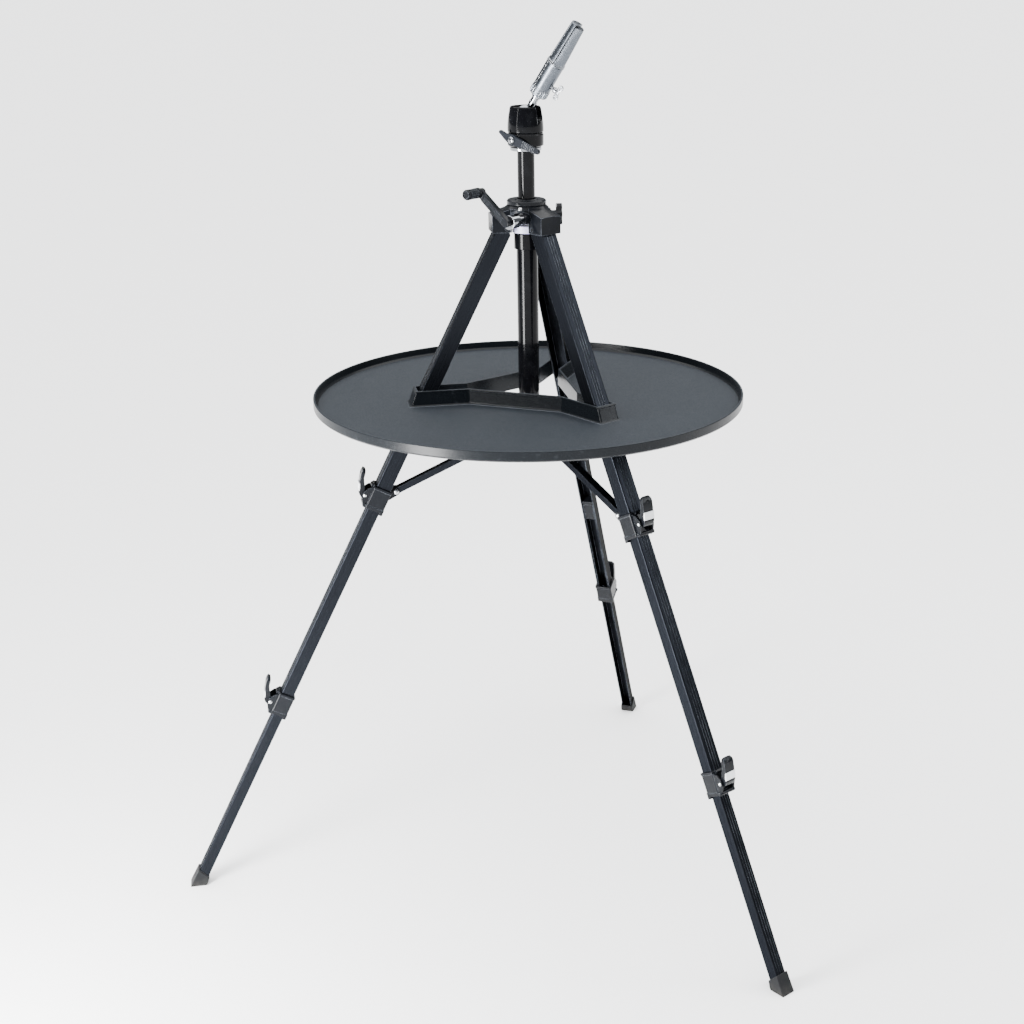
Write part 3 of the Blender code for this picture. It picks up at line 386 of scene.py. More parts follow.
class Graph:
    """A material's node tree, with short calls for the nodes that these finishes share."""

    def __init__(self, name, metallic, specular=0.5, **constants):
        """Constants go on the shader's own sockets; an underscore stands for a space in a name."""
        self.material = bpy.data.materials.new(name)
        self.material.use_nodes = True
        self.tree = self.material.node_tree
        self.shader = self.tree.nodes["Principled BSDF"]
        constants.update(Metallic=metallic, Specular_IOR_Level=specular)
        for socket, value in constants.items():
            self.shader.inputs[socket.replace("_", " ")].default_value = value

    def feed(self, socket, value):
        """Link the socket to an output, or set it to a constant."""
        if isinstance(value, bpy.types.NodeSocket):
            self.tree.links.new(value, socket)
        else:
            socket.default_value = value

    def node(self, kind, inputs=None, **settings):
        made = self.tree.nodes.new("ShaderNode" + kind)
        for name, value in settings.items():
            setattr(made, name, value)
        for name, value in (inputs or {}).items():
            self.feed(made.inputs[name], value)
        return made

    def place(self, stretch=(1, 1, 1), turn=None):
        """Object coordinates, turned into a part's own axes and then stretched."""
        vector = self.node("TexCoord").outputs["Object"]
        if turn:
            angles = turn.to_3x3().inverted().to_euler("XYZ")
            vector = self.node("Mapping", {"Vector": vector, "Rotation": angles}).outputs[0]
        return self.node("Mapping", {"Vector": vector, "Scale": stretch}).outputs[0]

    def noise(self, scale, detail=3.0, roughness=0.55, vector=None):
        values = {"Vector": vector or self.place(), "Scale": scale, "Detail": detail, "Roughness": roughness}
        return self.node("TexNoise", values).outputs["Fac"]

    def spread(self, value, low, high, start=0.0, end=1.0):
        """Map the value from low..high to start..end."""
        values = {"Value": value, "From Min": low, "From Max": high, "To Min": start, "To Max": end}
        return self.node("MapRange", values).outputs[0]

    def mix(self, share, first, second):
        """Blend from the first colour to the second; each is a constant or an output."""
        first, second = ((*value, 1) if isinstance(value, tuple) else value for value in (first, second))
        inputs = {"Factor": share, MIX_FIRST: first, MIX_SECOND: second}
        return self.node("Mix", inputs, data_type="RGBA").outputs[MIX_COLOUR]

    def maths(self, operation, first, second):
        return self.node("Math", {0: first, 1: second}, operation=operation).outputs[0]

    def share(self, value, limit):
        return self.spread(value, 0, 1, 0, limit)

    def edges(self, radius):
        """1 on edges and 0 on flats, and the rounded normal that finds them; the edge mark is rubbed wear
        and a painted highlight.
        """
        rounded_normal = self.node("Bevel", {"Radius": radius}, samples=4).outputs[0]
        true_normal = self.node("NewGeometry").outputs["Normal"]
        cosine = self.node("VectorMath", {0: rounded_normal, 1: true_normal}, operation="DOT_PRODUCT")
        return self.spread(cosine.outputs["Value"], EDGE_MARK_START, EDGE_MARK_FULL), rounded_normal

    def finish(self, colour, roughness, height, distance, strength, normal):
        """Drive the shader's colour, roughness and bump, and give the material."""
        values = {"Height": height, "Distance": distance, "Strength": strength, "Normal": normal}
        bump = self.node("Bump", values).outputs[0]
        for name, output in (("Base Color", colour), ("Roughness", roughness), ("Normal", bump)):
            self.feed(self.shader.inputs[name], output)
        return self.material


def anodised(name, turn):
    """Black anodised extrusion with draw lines along it, and corners lightened as rubbed wear and as a
    painted highlight.
    """
    graph = Graph(name, 0.85, 0.2, Specular_Tint=(0.12, 0.13, 0.15, 1))
    lines = graph.noise(1.0, 2.0, vector=graph.place((12, 2600, 2600), turn))
    clouds = graph.noise(26.0)
    edge_wear_and_highlight, normal = graph.edges(0.0007)
    wear_and_glint = graph.maths("MULTIPLY", edge_wear_and_highlight, graph.spread(clouds, 0.35, 0.65, 0.3, 1.0))
    base = graph.mix(lines, (0.005, 0.0056, 0.007), (0.017, 0.019, 0.0235))
    haze = graph.spread(clouds, 0.3, 0.7, 0, 0.06)
    rough = graph.maths("ADD", graph.spread(lines, 0.2, 0.8, 0.2, 0.32), haze)
    # The light corner colour is partly rubbed wear and partly a painted highlight.
    return graph.finish(graph.mix(wear_and_glint, base, (0.3, 0.33, 0.38)), rough, lines, 0.00003, 0.6, normal)


def gloss_black():
    """Deep black lacquer with a trace of orange peel and dust."""
    graph = Graph("gloss_black", 0.0, 0.07, Coat_Weight=0.06, Coat_Roughness=0.04)
    peel, dust = graph.noise(260.0, 2.0), graph.noise(60.0, 6.0, 0.7)
    edge_wear_and_highlight, normal = graph.edges(0.0006)
    base = graph.mix(graph.spread(dust, 0.5, 0.8), (0.002, 0.0021, 0.0027), (0.006, 0.0064, 0.0075))
    # Edges are lightened a little, partly as wear and partly as a painted highlight.
    base = graph.mix(graph.share(edge_wear_and_highlight, 0.5), base, (0.03, 0.032, 0.036))
    return graph.finish(base, graph.spread(dust, 0.35, 0.75, 0.07, 0.16), peel, 0.00002, 0.5, normal)


def black_plastic(name, corner, rub_and_highlight, shine=0.12):
    """Moulded, semi-matte plastic with a fine stipple, and corners lightened as rubbed wear and as a painted
    highlight.
    """
    graph = Graph(name, 0.0, shine)
    stipple, clouds = graph.noise(1900.0, 3.0, 0.6), graph.noise(70.0, 4.0)
    edge_wear_and_highlight, normal = graph.edges(corner)
    base = graph.mix(clouds, (0.0025, 0.003, 0.0042), (0.0065, 0.0075, 0.0095))
    wear_and_glint = graph.maths("MULTIPLY", edge_wear_and_highlight, graph.spread(clouds, 0.3, 0.65, 0.2, 0.9))
    rough = graph.spread(clouds, 0.25, 0.75, 0.16, 0.3)
    # The corner colour is partly rubbed wear and partly a painted highlight.
    return graph.finish(graph.mix(wear_and_glint, base, rub_and_highlight), rough, stipple, 0.00004, 0.5, normal)


def lever_grey():
    """The head lever's dark moulding, with light edges that are partly rubbed wear and partly a painted
    highlight.
    """
    graph = Graph("lever_grey", 0.0, 0.1)
    grain, clouds = graph.noise(900.0, 4.0), graph.noise(110.0)
    edge_wear_and_highlight, normal = graph.edges(0.0004)
    base = graph.mix(clouds, (0.004, 0.005, 0.007), (0.012, 0.014, 0.019))
    # Light edge colour: rubbed wear and a painted highlight.
    base = graph.mix(graph.share(edge_wear_and_highlight, 0.7), base, (0.5, 0.52, 0.56))
    return graph.finish(base, graph.spread(grain, 0.3, 0.7, 0.3, 0.45), grain, 0.00004, 0.6, normal)


def leather_grain(graph, place):
    """0 in the creases and 1 on top of small, unevenly bent cells."""
    bend = graph.node("TexNoise", {"Vector": place, "Scale": 500.0, "Detail": 2.0}).outputs["Color"]
    offset = {0: bend, 1: (0.0009, 0.0009, 0.0009), 2: place}
    bent = graph.node("VectorMath", offset, operation="MULTIPLY_ADD")
    cells = {"Vector": bent.outputs[0], "Scale": 620.0}
    cells = graph.node("TexVoronoi", cells, feature="DISTANCE_TO_EDGE").outputs["Distance"]
    return graph.spread(cells, 0.0, 0.22)


def tray_plastic():
    """Charcoal plastic: its flats have a leather grain, and its upright walls are smooth and painted darker
    as painted shade.
    """
    graph = Graph("tray_plastic", 0.0, 0.14)
    place = graph.place()
    pebble = leather_grain(graph, place)
    clouds = graph.noise(9.0, 5.0, 0.6, place)
    scuffs = graph.noise(1.0, 5.0, 0.7, graph.place((30, 240, 100)))
    edge_wear_and_highlight, normal = graph.edges(0.0006)
    facing = graph.node("NewGeometry").outputs["Normal"]
    upward = graph.node("SeparateXYZ", {"Vector": facing}).outputs["Z"]
    flat = graph.spread(graph.maths("ABSOLUTE", upward, 0.0), 0.8, 0.97)
    grained = graph.mix(clouds, (0.0175, 0.022, 0.0275), (0.0245, 0.03, 0.037))
    grained = graph.mix(graph.spread(pebble, 0, 1, 0.75, 0), grained, (0.009, 0.011, 0.014))
    # Painted shade: faces that stand upright get this darker wall colour, chosen by the way the surface
    # faces.
    smooth = graph.mix(clouds, (0.0025, 0.0034, 0.0046), (0.005, 0.0064, 0.0082))
    base = graph.mix(flat, smooth, grained)
    base = graph.mix(graph.spread(scuffs, 0.6, 0.82, 0, 0.25), base, (0.075, 0.083, 0.095))
    # Edges lightened as rubbed wear and as a painted highlight.
    base = graph.mix(graph.share(edge_wear_and_highlight, 0.55), base, (0.22, 0.24, 0.27))
    polish = graph.spread(flat, 0, 1, 0.55, 1)
    rough = graph.maths("MULTIPLY", graph.spread(pebble, 0, 1, 0.62, 0.44), polish)
    return graph.finish(base, rough, graph.maths("MULTIPLY", pebble, flat), 0.0002, 0.9, normal)


def foot_rubber():
    """Matte rubber that has picked up dust near the floor."""
    graph = Graph("foot_rubber", 0.0, 0.15, Sheen_Weight=0.03, Sheen_Roughness=0.5)
    place = graph.place()
    height = graph.node("SeparateXYZ", {"Vector": place}).outputs["Z"]
    dust, grain = graph.noise(160.0, 6.0, 0.7, place), graph.noise(1500.0, vector=place)
    low = graph.maths("MULTIPLY", graph.spread(height, 0.014, 0.0), graph.spread(dust, 0.4, 0.7))
    edge_wear_and_highlight, normal = graph.edges(0.001)
    # Edges lightened as rubbed wear and as a painted highlight.
    base = graph.mix(edge_wear_and_highlight, (0.005, 0.0055, 0.0065), (0.03, 0.032, 0.035))
    base = graph.mix(low, base, (0.035, 0.033, 0.03))
    return graph.finish(base, graph.spread(dust, 0.3, 0.7, 0.6, 0.8), grain, 0.00005, 0.6, normal)


def cast_zinc():
    """Lightly polished zinc casting: mottled grey with fine scratches along the plug."""
    graph = Graph("cast_zinc", 0.9)
    mottle = graph.noise(150.0, 5.0)
    scratch = graph.noise(1.0, vector=graph.place((3200, 3200, 60), plug_frame()))
    edge_wear_and_highlight, normal = graph.edges(0.0006)
    base = graph.mix(mottle, (0.055, 0.064, 0.077), (0.12, 0.132, 0.15))
    # Edges lightened as rubbed wear and as a painted highlight.
    base = graph.mix(graph.share(edge_wear_and_highlight, 0.6), base, (0.7, 0.72, 0.75))
    rough, relief = graph.spread(mottle, 0.3, 0.7, 0.2, 0.32), graph.maths("ADD", scratch, mottle)
    return graph.finish(base, rough, relief, 0.00002, 0.5, normal)


def bright_metal(name, dark, light, smooth, rough):
    """Polished or plated metal with faint cloudy tarnish."""
    graph = Graph(name, 1.0)
    clouds, fine = graph.noise(240.0, 5.0, 0.6), graph.noise(1800.0, 2.0)
    shine = graph.spread(clouds, 0.3, 0.7, smooth, rough)
    return graph.finish(graph.mix(clouds, dark, light), shine, fine, 0.00001, 0.5, graph.edges(0.0004)[1])


def pale_nylon():
    """The lavender bearing ring: waxy nylon with mould mottling."""
    wax = {"Subsurface_Radius": (0.004, 0.003, 0.005), "Subsurface_Scale": 0.4}
    graph = Graph("pale_nylon", 0.0, Subsurface_Weight=0.15, **wax)
    clouds, normal = graph.noise(300.0, 4.0), graph.edges(0.0006)[1]
    base = graph.mix(clouds, (0.38, 0.37, 0.55), (0.6, 0.59, 0.78))
    return graph.finish(base, graph.spread(clouds, 0.3, 0.7, 0.3, 0.45), clouds, 0.00004, 0.5, normal)


def label_silver():
    """Brushed silver foil with a soft diffuse haze."""
    graph = Graph("label_silver", 0.5)
    lines, normal = graph.noise(1.0, 2.0, vector=graph.place((60, 60, 2400))), graph.edges(0.0004)[1]
    base = graph.mix(lines, (0.62, 0.63, 0.66), (0.86, 0.87, 0.88))
    return graph.finish(base, graph.spread(lines, 0.3, 0.7, 0.32, 0.48), lines, 0.00002, 0.5, normal)


def floor_paint():
    """A plain pale sweep with the faintest mottling."""
    graph = Graph("floor_paint", 0.0, 0.2, Roughness=0.7)
    paint = graph.mix(graph.noise(3.0), (0.925, 0.927, 0.93), (0.945, 0.946, 0.948))
    graph.feed(graph.shader.inputs["Base Color"], paint)
    return graph.material


def make_finishes():
    finishes = {
        "gloss_black": gloss_black(),
        # The last colour goes on edges as rubbed wear and as a painted highlight.
        "black_plastic": black_plastic("black_plastic", 0.0005, (0.16, 0.175, 0.2)),
        "cast_black": black_plastic("cast_black", 0.0009, (0.2, 0.22, 0.26), 0.06),
        "lever_grey": lever_grey(),
        "tray_plastic": tray_plastic(),
        "foot_rubber": foot_rubber(),
        "cast_zinc": cast_zinc(),
        "chrome": bright_metal("chrome", (0.2, 0.21, 0.225), (0.34, 0.35, 0.37), 0.05, 0.13),
        "bright_steel": bright_metal("bright_steel", (0.4, 0.41, 0.43), (0.7, 0.71, 0.72), 0.16, 0.3),
        "dark_steel": bright_metal("dark_steel", (0.012, 0.012, 0.014), (0.03, 0.031, 0.034), 0.25, 0.4),
        "pale_plastic": pale_nylon(),
        "label_silver": label_silver(),
        "guide_grey": bright_metal("guide_grey", (0.3, 0.31, 0.33), (0.48, 0.49, 0.51), 0.4, 0.55),
    }
    for name, azimuth in LEG_AZIMUTHS.items():
        finishes["leg_" + name] = anodised("anodised_" + name, leg_frame(azimuth))
    return finishes


FINISHES = make_finishes()


def linked(name, data):
    item = bpy.data.objects.new(name, data)
    bpy.context.scene.collection.objects.link(item)
    return item


def piece(name, body, shape, finish, matrix=None, stands_for=None, fold=42):
    """Make a piece from a shape in millimetres and ride it on its body."""
    mesh = bpy.data.meshes.new(name)
    shape.transform(Matrix.Scale(MILLIMETRE, 4) @ STAND @ (matrix or Matrix()))
    shape.to_mesh(mesh)
    shape.free()
    mesh.shade_smooth()
    mesh.set_sharp_from_angle(angle=radians(fold))
    mesh.materials.append(FINISHES[finish])
    item = linked(name, mesh)
    even = item.modifiers.new("even_normals", "WEIGHTED_NORMAL")
    even.keep_sharp = True
    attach(item, body)
    if stands_for:
        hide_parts(stands_for)


# Legs


def channel_outline(sizes):
    """A U channel that opens inwards, with round corners and three grooves in its outer face."""
    width, depth, face = sizes
    half, inner, wall = width / 2, face - depth, SECTION_WALL
    outline = [(half, inner)] + arc((half - 1.6, face - 1.6), 1.6, 0, 90, 5)
    groove = ((0.85, 0), (0.55, -0.12), (0.3, -0.6), (-0.3, -0.6), (-0.55, -0.12), (-0.85, 0))
    for centre in (GROOVE_SPACING, 0, -GROOVE_SPACING):
        outline += near(centre, face, *groove)
    outline += arc((1.6 - half, face - 1.6), 1.6, 90, 180, 5) + [(-half, inner), (wall - half, inner)]
    outline += [(wall - half, face - wall), (half - wall, face - wall)]
    return outline + [(half - wall, inner)]


def upper_section():
    shape = prism(channel_outline(UPPER_SIZES), UPPER_TOP, UPPER_END, ALONG_X)
    wide, depth, face = UPPER_SIZES
    corner = [(-20, 0), (UPPER_TOP, 0), (6, face - depth), (6, -20), (-20, -20)]
    pin_hole = crosswise(cylinder(PIVOT_PIN_RADIUS + GAP, -wide, wide))
    return cut(shape, prism(corner, -wide, wide, SIDEWAYS), pin_hole)


def mid_section(end):
    start = end - MID_LENGTH
    shape = prism(channel_outline(MID_SIZES), start, end, ALONG_X)
    half, inside = (MID_SIZES[0] - SECTION_WALL) / 2, MID_SIZES[2] - SECTION_WALL / 2
    return fuse(shape, box((start + 1, -half, MID_PLUG_INNER), (start + MID_PLUG, half, inside)))


def lower_section():
    return prism(channel_outline(LOWER_SIZES), LOWER_TOP, LOWER_END, ALONG_X)


def dome_rivet(radius, reach, shank):
    """A rivet along Y with a domed head at each end."""
    dome = ((0, 0.5), (0.45, 0.42), (0.8, 0.25))
    outline = [(radius * wide, -reach - radius * tall) for wide, tall in dome]
    outline += near(0, -reach, (radius, -0.1), (radius, 0.2), (shank, 0.2))
    return crosswise(lathe(outline + [(r, -z) for r, z in reversed(outline)], 32))


def slide_pad(end):
    """The grey pad just inside the open side of the mid section's top end."""
    start, half = end - MID_LENGTH, MID_SIZES[0] / 2 - SECTION_WALL - 0.2
    return soft_prism(corners(start + 1, PAD_FACE, start + MID_PLUG, -1.5), -half, half, 0.5, SIDEWAYS)


def pad_rivet(end):
    """A hollow rivet with a dark centre."""
    outline = [(1.3, -1), (2.6, -1), (3.2, -0.2), (3.2, 0), (2.4, 0.7), (1.7, 0.8), (1.3, 0.4)]
    place = shift(end - MID_LENGTH + MID_PLUG / 2, 0, PAD_FACE) @ spin(180, "X")
    return placed(lathe(rounded(outline, 0.2), 28), place)


# Clamps


def section_hole(sizes, start, end):
    """The passage for a section of these sizes."""
    width, depth, face = sizes
    half = width / 2 + GAP
    return prism(rounded(corners(-half, face - depth - GAP, half, face + GAP), 1.2), start, end, ALONG_X)


def twin_plates(shape, outline, inside, outside, edge):
    for low, high in ((inside, outside), (-outside, -inside)):
        shape = fuse(shape, soft_prism(outline, low, high, edge, SIDEWAYS))
    return shape


def clamp_collar(sizes, inner_sizes, bracket):
    """A moulded collar: rolled ends, a raised lip, lever ears, a stop bar and a curled bridge."""
    width, depth, face = sizes
    half, low, high = width / 2 + CLAMP_WALL, face - depth - CLAMP_WALL, face + CLAMP_WALL
    stations = near(CLAMP_TOP, 0, (0, 1.2), (0.35, 0.4), (1.1, 0), (3.6, 0), (4.2, 0.55))
    stations += near(CLAMP_END, 0, (-5, 0.55), (-4.4, 0), (-1.1, 0), (-0.35, 0.4), (0, 1.2))
    rings = []
    for along, inset in stations:
        ring = rounded(corners(inset - half, low + inset, half - inset, high - inset), 2.4, 5)
        rings.append([(along, across, out) for across, out in ring])
    lip = near(CLAMP_END, low, (-6, 0.2), (3, 0.2), (3, 5), (-6, 6))
    shape = fuse(loft(rings), soft_prism(lip, 0.4 - half, half - 0.4, 0.8, SIDEWAYS))
    shape = cut(shape, section_hole(sizes, CLAMP_TOP - 5, CLAMP_END - CLAMP_FLOOR))
    shape = cut(shape, section_hole(inner_sizes, CLAMP_TOP, CLAMP_END + 10))
    ear = [(-15, high - 1.5)] + near(0, high + LEVER_PIN_HEIGHT, (-11.5, -1.5), (-4, 3.4), (3, 3.4), (9, 0))
    ear += [(14, high + 3), (16, high - 1.5)]
    shape = twin_plates(shape, ear, EAR_INSIDE, EAR_OUTSIDE, 0.5)
    bar = [(0, -13.4), (1.8, -13.4), (2.7, -12.5), (2.7, 12.5), (1.8, 13.4), (0, 13.4)]
    shape = fuse(shape, crosswise(lathe(bar, 28), (12.4, 0, high + 1.6)))
    curl = near(0, high, (-17, -1), (-17.4, 1.6), (-15.4, 3.4), (-13.4, 3), (-13.2, 1.6), (-12.6, -1))
    shape = fuse(shape, soft_prism(curl, -7.5, 7.5, 0.5, SIDEWAYS))
    return add_bracket(shape, low) if bracket else shape


def add_bracket(shape, low):
    along = BRACE_PIVOT_ALONG - UPPER_CLAMP_CENTRE
    lug = arc((along, BRACE_PIVOT_OUT), 4.6, 90, 300, 14) + near(along, low, (14, -1), (14, 1.5), (2.5, 1.5))
    return twin_plates(shape, lug, BRACE_HALF_WIDTH + 0.4, BRACE_HALF_WIDTH + 2.9, 0.4)


def clamp_lever():
    """A cam lever: a rounded paddle with a thumb hollow, a spur and a barrel round its pin."""
    side = [(-32, 14), (-30.5, 15.8), (-24, 16), (-16, 14), (-8, 11), (-2.5, 9.8), (0.5, 8.4), (3, 6)]
    side += [(5, 2.4), (4.8, -1.5), (3, -3.6), (-1.5, -3.9), (-4, -2), (-6.5, 3), (-13, 6), (-20, 9.8)]
    side += [(-27, 11), (-31, 12)]
    shape = prism(rounded(side, 2.0, 3), -12, 12, SIDEWAYS)
    plan = [(10, -LEVER_HALF_WIDTH), (10, LEVER_HALF_WIDTH), (-14, LEVER_HALF_WIDTH)]
    plan += arc((-25.5, LEVER_HALF_WIDTH - 6.5), 6.5, 90, 180, 9)
    plan += arc((-25.5, 6.5 - LEVER_HALF_WIDTH), 6.5, 180, 270, 9)
    plan.append((-14, -LEVER_HALF_WIDTH))
    shape = boolean(shape, prism(plan, -20, 30), "INTERSECT")
    hollow = lathe([(0, -3)] + arc((0, 0), 3, -67, 67, 8) + [(0, 3)], 32)
    hollow.transform(shift(-24.5, 0, 18) @ Matrix.Diagonal((1.2, 1.5, 1, 1)))
    return cut(shape, hollow)


def lever_ridges():
    """Grip ridges across the paddle's tip."""
    ridges = bmesh.new()
    joined = bpy.data.meshes.new("ridge")
    for along, out in ((-31.2, 15.6), (-29.7, 15.85), (-28.2, 15.85)):
        ridge = soft_prism(arc((along, out), 0.55, 0, 360, 8)[:-1], -5.2, 5.2, 0.2, SIDEWAYS)
        ridge.to_mesh(joined)
        ridge.free()
        ridges.from_mesh(joined)
    bpy.data.meshes.remove(joined)
    return ridges


def lever_label():
    """The silver block let into the lever's outer side, just above its pivot."""
    outline = [(-1.6, 8.2), (-2.6, 10.7), (-7.4, 12.2), (-11.4, 13.7), (-12, 12.2), (-7.2, 9.6)]
    return soft_prism(outline, -LEVER_HALF_WIDTH - 0.1, LEVER_HALF_WIDTH + 0.1, 0.5, SIDEWAYS)


# Leg assembly


def build_clamp(name, turn, level, centre, collar, parts, body):
    """One clamp with its lever, label, ridges and rivet."""
    tag = level + "_" + name
    lever_body = level + "_lever_" + name
    place = turn @ shift(centre, 0, 0)
    pin_out = (UPPER_SIZES if level == "upper" else MID_SIZES)[2] + CLAMP_WALL + LEVER_PIN_HEIGHT
    pin_place = place @ shift(0, 0, pin_out)
    piece("clamp_collar_" + tag, body, collar.copy(), "black_plastic", place, "clamp_" + tag)
    rivet = dome_rivet(2.5, EAR_OUTSIDE + 0.2, LEVER_PIN_RADIUS)
    piece("lever_pin_" + tag, body, rivet, "bright_steel", pin_place)
    lever, label, ridges = (shape.copy() for shape in parts)
    piece("cam_lever_" + tag, lever_body, lever, "black_plastic", pin_place, "lever_" + tag)
    piece("lever_label_" + tag, lever_body, label, "label_silver", pin_place)
    piece("lever_ridges_" + tag, lever_body, ridges, "black_plastic", pin_place)


def build_legs():
    upper, lower = upper_section(), lower_section()
    upper_collar = clamp_collar(UPPER_SIZES, MID_SIZES, True)
    lower_collar = clamp_collar(MID_SIZES, LOWER_SIZES, False)
    parts = (clamp_lever(), lever_label(), lever_ridges())
    for name, azimuth in LEG_AZIMUTHS.items():
        turn, metal = leg_frame(azimuth), "leg_" + name
        leg_body, mid_body, lower_body = "leg_" + name, "mid_" + name, "lower_" + name
        lower_centre = LOWER_CLAMP_CENTRES[name]
        mid_end = lower_centre + CLAMP_END - CLAMP_FLOOR - GAP
        piece("section_upper_" + name, leg_body, upper.copy(), metal, turn, "leg_upper_" + name)
        piece("section_mid_" + name, mid_body, mid_section(mid_end), metal, turn, "leg_mid_" + name)
        piece("section_lower_" + name, lower_body, lower.copy(), metal, turn, "leg_lower_" + name)
        piece("slide_pad_" + name, mid_body, slide_pad(mid_end), "guide_grey", turn)
        piece("pad_rivet_" + name, mid_body, pad_rivet(mid_end), "bright_steel", turn)
        guide = refined("lower_guide_" + name, 0.4)
        piece("guide_block_" + name, lower_body, guide, "black_plastic", None, "lower_guide_" + name)
        build_clamp(name, turn, "upper", UPPER_CLAMP_CENTRE, upper_collar, parts, leg_body)
        build_clamp(name, turn, "lower", lower_centre, lower_collar, parts, mid_body)
        foot = refined("foot_" + name, 1.3)
        piece("rubber_foot_" + name, lower_body, foot, "foot_rubber", None, "foot_" + name)
        link = refined("brace_" + name, 0.5, 40)
        piece("brace_link_" + name, "brace_" + name, link, metal, None, "brace_" + name)
        pin = turn @ shift(BRACE_PIVOT_ALONG, 0, BRACE_PIVOT_OUT)
        rivet = dome_rivet(3.4, BRACE_HALF_WIDTH + 3.1, BRACE_PIN_RADIUS)
        piece("brace_rivet_" + name, leg_body, rivet, "bright_steel", pin, "brace_pin_" + name)
        pivot = ring_frame(azimuth, PIVOT_RADIUS, PIVOT_HEIGHT)
        pin = crosswise(soft_lathe(corners(0, -PIN_REACH, PIVOT_PIN_RADIUS, PIN_REACH), 0.4, 32))
        piece("hinge_pin_" + name, "stand", pin, "dark_steel", pivot, "pivot_pin_" + name)
    for shape in (upper, lower, upper_collar, lower_collar, *parts):
        shape.free()


# Shoulder, sheath and spreader hub


def cap_screw():
    """A small pan-head screw with a cross recess."""
    head = lathe([(0, 0), (2.4, 0), (2.7, 0.7), (2.2, 1.5), (1.2, 1.8), (0, 1.9)], 32)
    for turn in (0, 90):
        slot = box((-1.5, -0.3, 1.1), (1.5, 0.3, 3))
        head = cut(head, placed(slot, spin(turn)))
    return head


def arch(inner, outer, low, spring, steps):
    """The outline of an arch with straight feet and a half circle above its spring height."""
    outline = [(-inner, low)] + arc((0, spring), inner, 180, 0, steps) + [(inner, low), (outer, low)]
    return outline + arc((0, spring), outer, 0, 180, steps) + [(-outer, low)]


def on_casting(shape, inside, outside, segments):
    """Keep what lies between two radii of the casting's round wall, and turn it to the window."""
    shell = lathe(corners(inside, CASTING_BOTTOM, outside, CAP_BOTTOM), segments)
    return placed(boolean(shape, shell, "INTERSECT"), spin(WINDOW_AZIMUTH))


def window_bead():
    """A raised rim round the arched window in the casting's front."""
    outline = arch(WINDOW_HALF_WIDTH - 0.3, WINDOW_HALF_WIDTH + 1.9, 892.4, WINDOW_SPRING, 24)
    return on_casting(soft_prism(outline, 22.6, 31, 0.5, ALONG_X), 19, 29.4, 96)


def hood_bead():
    """A fine raised line that arches over the window, from lobe to lobe."""
    return on_casting(prism(arch(19.6, 21.1, 893, 899, 32), 10, 31, ALONG_X), 27.4, 28.9, 128)


def build_shoulder():
    casting = refined("shoulder_casting", 0.7, 32)
    piece("casting", "stand", casting, "cast_black", None, "shoulder_casting", 50)
    piece("window_rim", "stand", window_bead(), "cast_black")
    piece("hood_rim", "stand", hood_bead(), "cast_black")
    cap = [(GUIDE_BORE, CAP_BOTTOM), (CAP_RADIUS, CAP_BOTTOM)]
    cap += near(CAP_RADIUS, CAP_TOP, (0, -1.6), (-1.6, 0))
    cap += near(0, CAP_TOP, (15.2, 0), (14.8, 0.8), (12.2, 0.8), (GUIDE_BORE, -0.2))
    piece("cap_disc", "stand", soft_lathe(cap, 0.7, 96), "black_plastic", None, "shoulder_cap")
    turn = spin(272) @ shift(26.2, 0, 921.6)
    turn = turn @ spin(58, "Y")
    piece("casting_screw", "stand", cap_screw(), "bright_steel", turn)
    knob = refined("column_lock_knob", 0.9, 40)
    piece("lock_wing", "lock_knob", knob, "black_plastic", None, "column_lock_knob", 50)


def build_sheath():
    sheath = soft_tube(GUIDE_BORE, SHEATH_RADIUS, SHEATH_BOTTOM, SHEATH_TOP)
    piece("sheath_tube", "stand", sheath, "gloss_black", None, "column_sheath")
    bushing = soft_tube(SHEATH_RADIUS + GAP, BUSHING_RADIUS, BUSHING_BOTTOM, SHEATH_TOP, 1.2)
    piece("bushing", "stand", bushing, "gloss_black", None, "sheath_bushing")
    ring = soft_tube(GUIDE_BORE, RING_RADIUS, RING_BOTTOM, RING_TOP, 1.0)
    piece("bearing_ring", "stand", ring, "pale_plastic", None, "sheath_ring")
    plug = GUIDE_BORE - GAP
    foot = [(0, 597), (14, 597), (16, 599), (16, SHEATH_BOTTOM - GAP), (plug, SHEATH_BOTTOM - GAP)]
    foot = soft_lathe(foot + [(plug, SHEATH_BOTTOM + 8), (0, SHEATH_BOTTOM + 8)], 0.8)
    piece("sheath_end", "stand", foot, "black_plastic", None, "sheath_foot")


def build_hub():
    hub = refined("spreader_hub", 0.5, 40)
    piece("hub_ring", "hub", hub, "black_plastic", None, "spreader_hub", 50)
    for name, azimuth in LEG_AZIMUTHS.items():
        place = ring_frame(azimuth, HUB_PIVOT_RADIUS, HUB_PIVOT_HEIGHT)
        rivet = dome_rivet(2.6, BRACE_HALF_WIDTH + 3.1, 1.2)
        piece("hub_rivet_" + name, "hub", rivet, "bright_steel", place)


# Column and crank


def build_column():
    tube = soft_tube(COLUMN_BORE, COLUMN_RADIUS, COLUMN_BOTTOM, COLUMN_TOP, 0.4)
    slot = placed(box((5, -2.8, RACK_BOTTOM - 1), (15, 2.8, RACK_TOP + 1)), spin(RACK_AZIMUTH))
    piece("column_tube", "column", cut(tube, slot), "gloss_black", None, "center_column")
    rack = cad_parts["column_rack"]
    rack.data.materials.clear()
    rack.data.materials.append(FINISHES["bright_steel"])


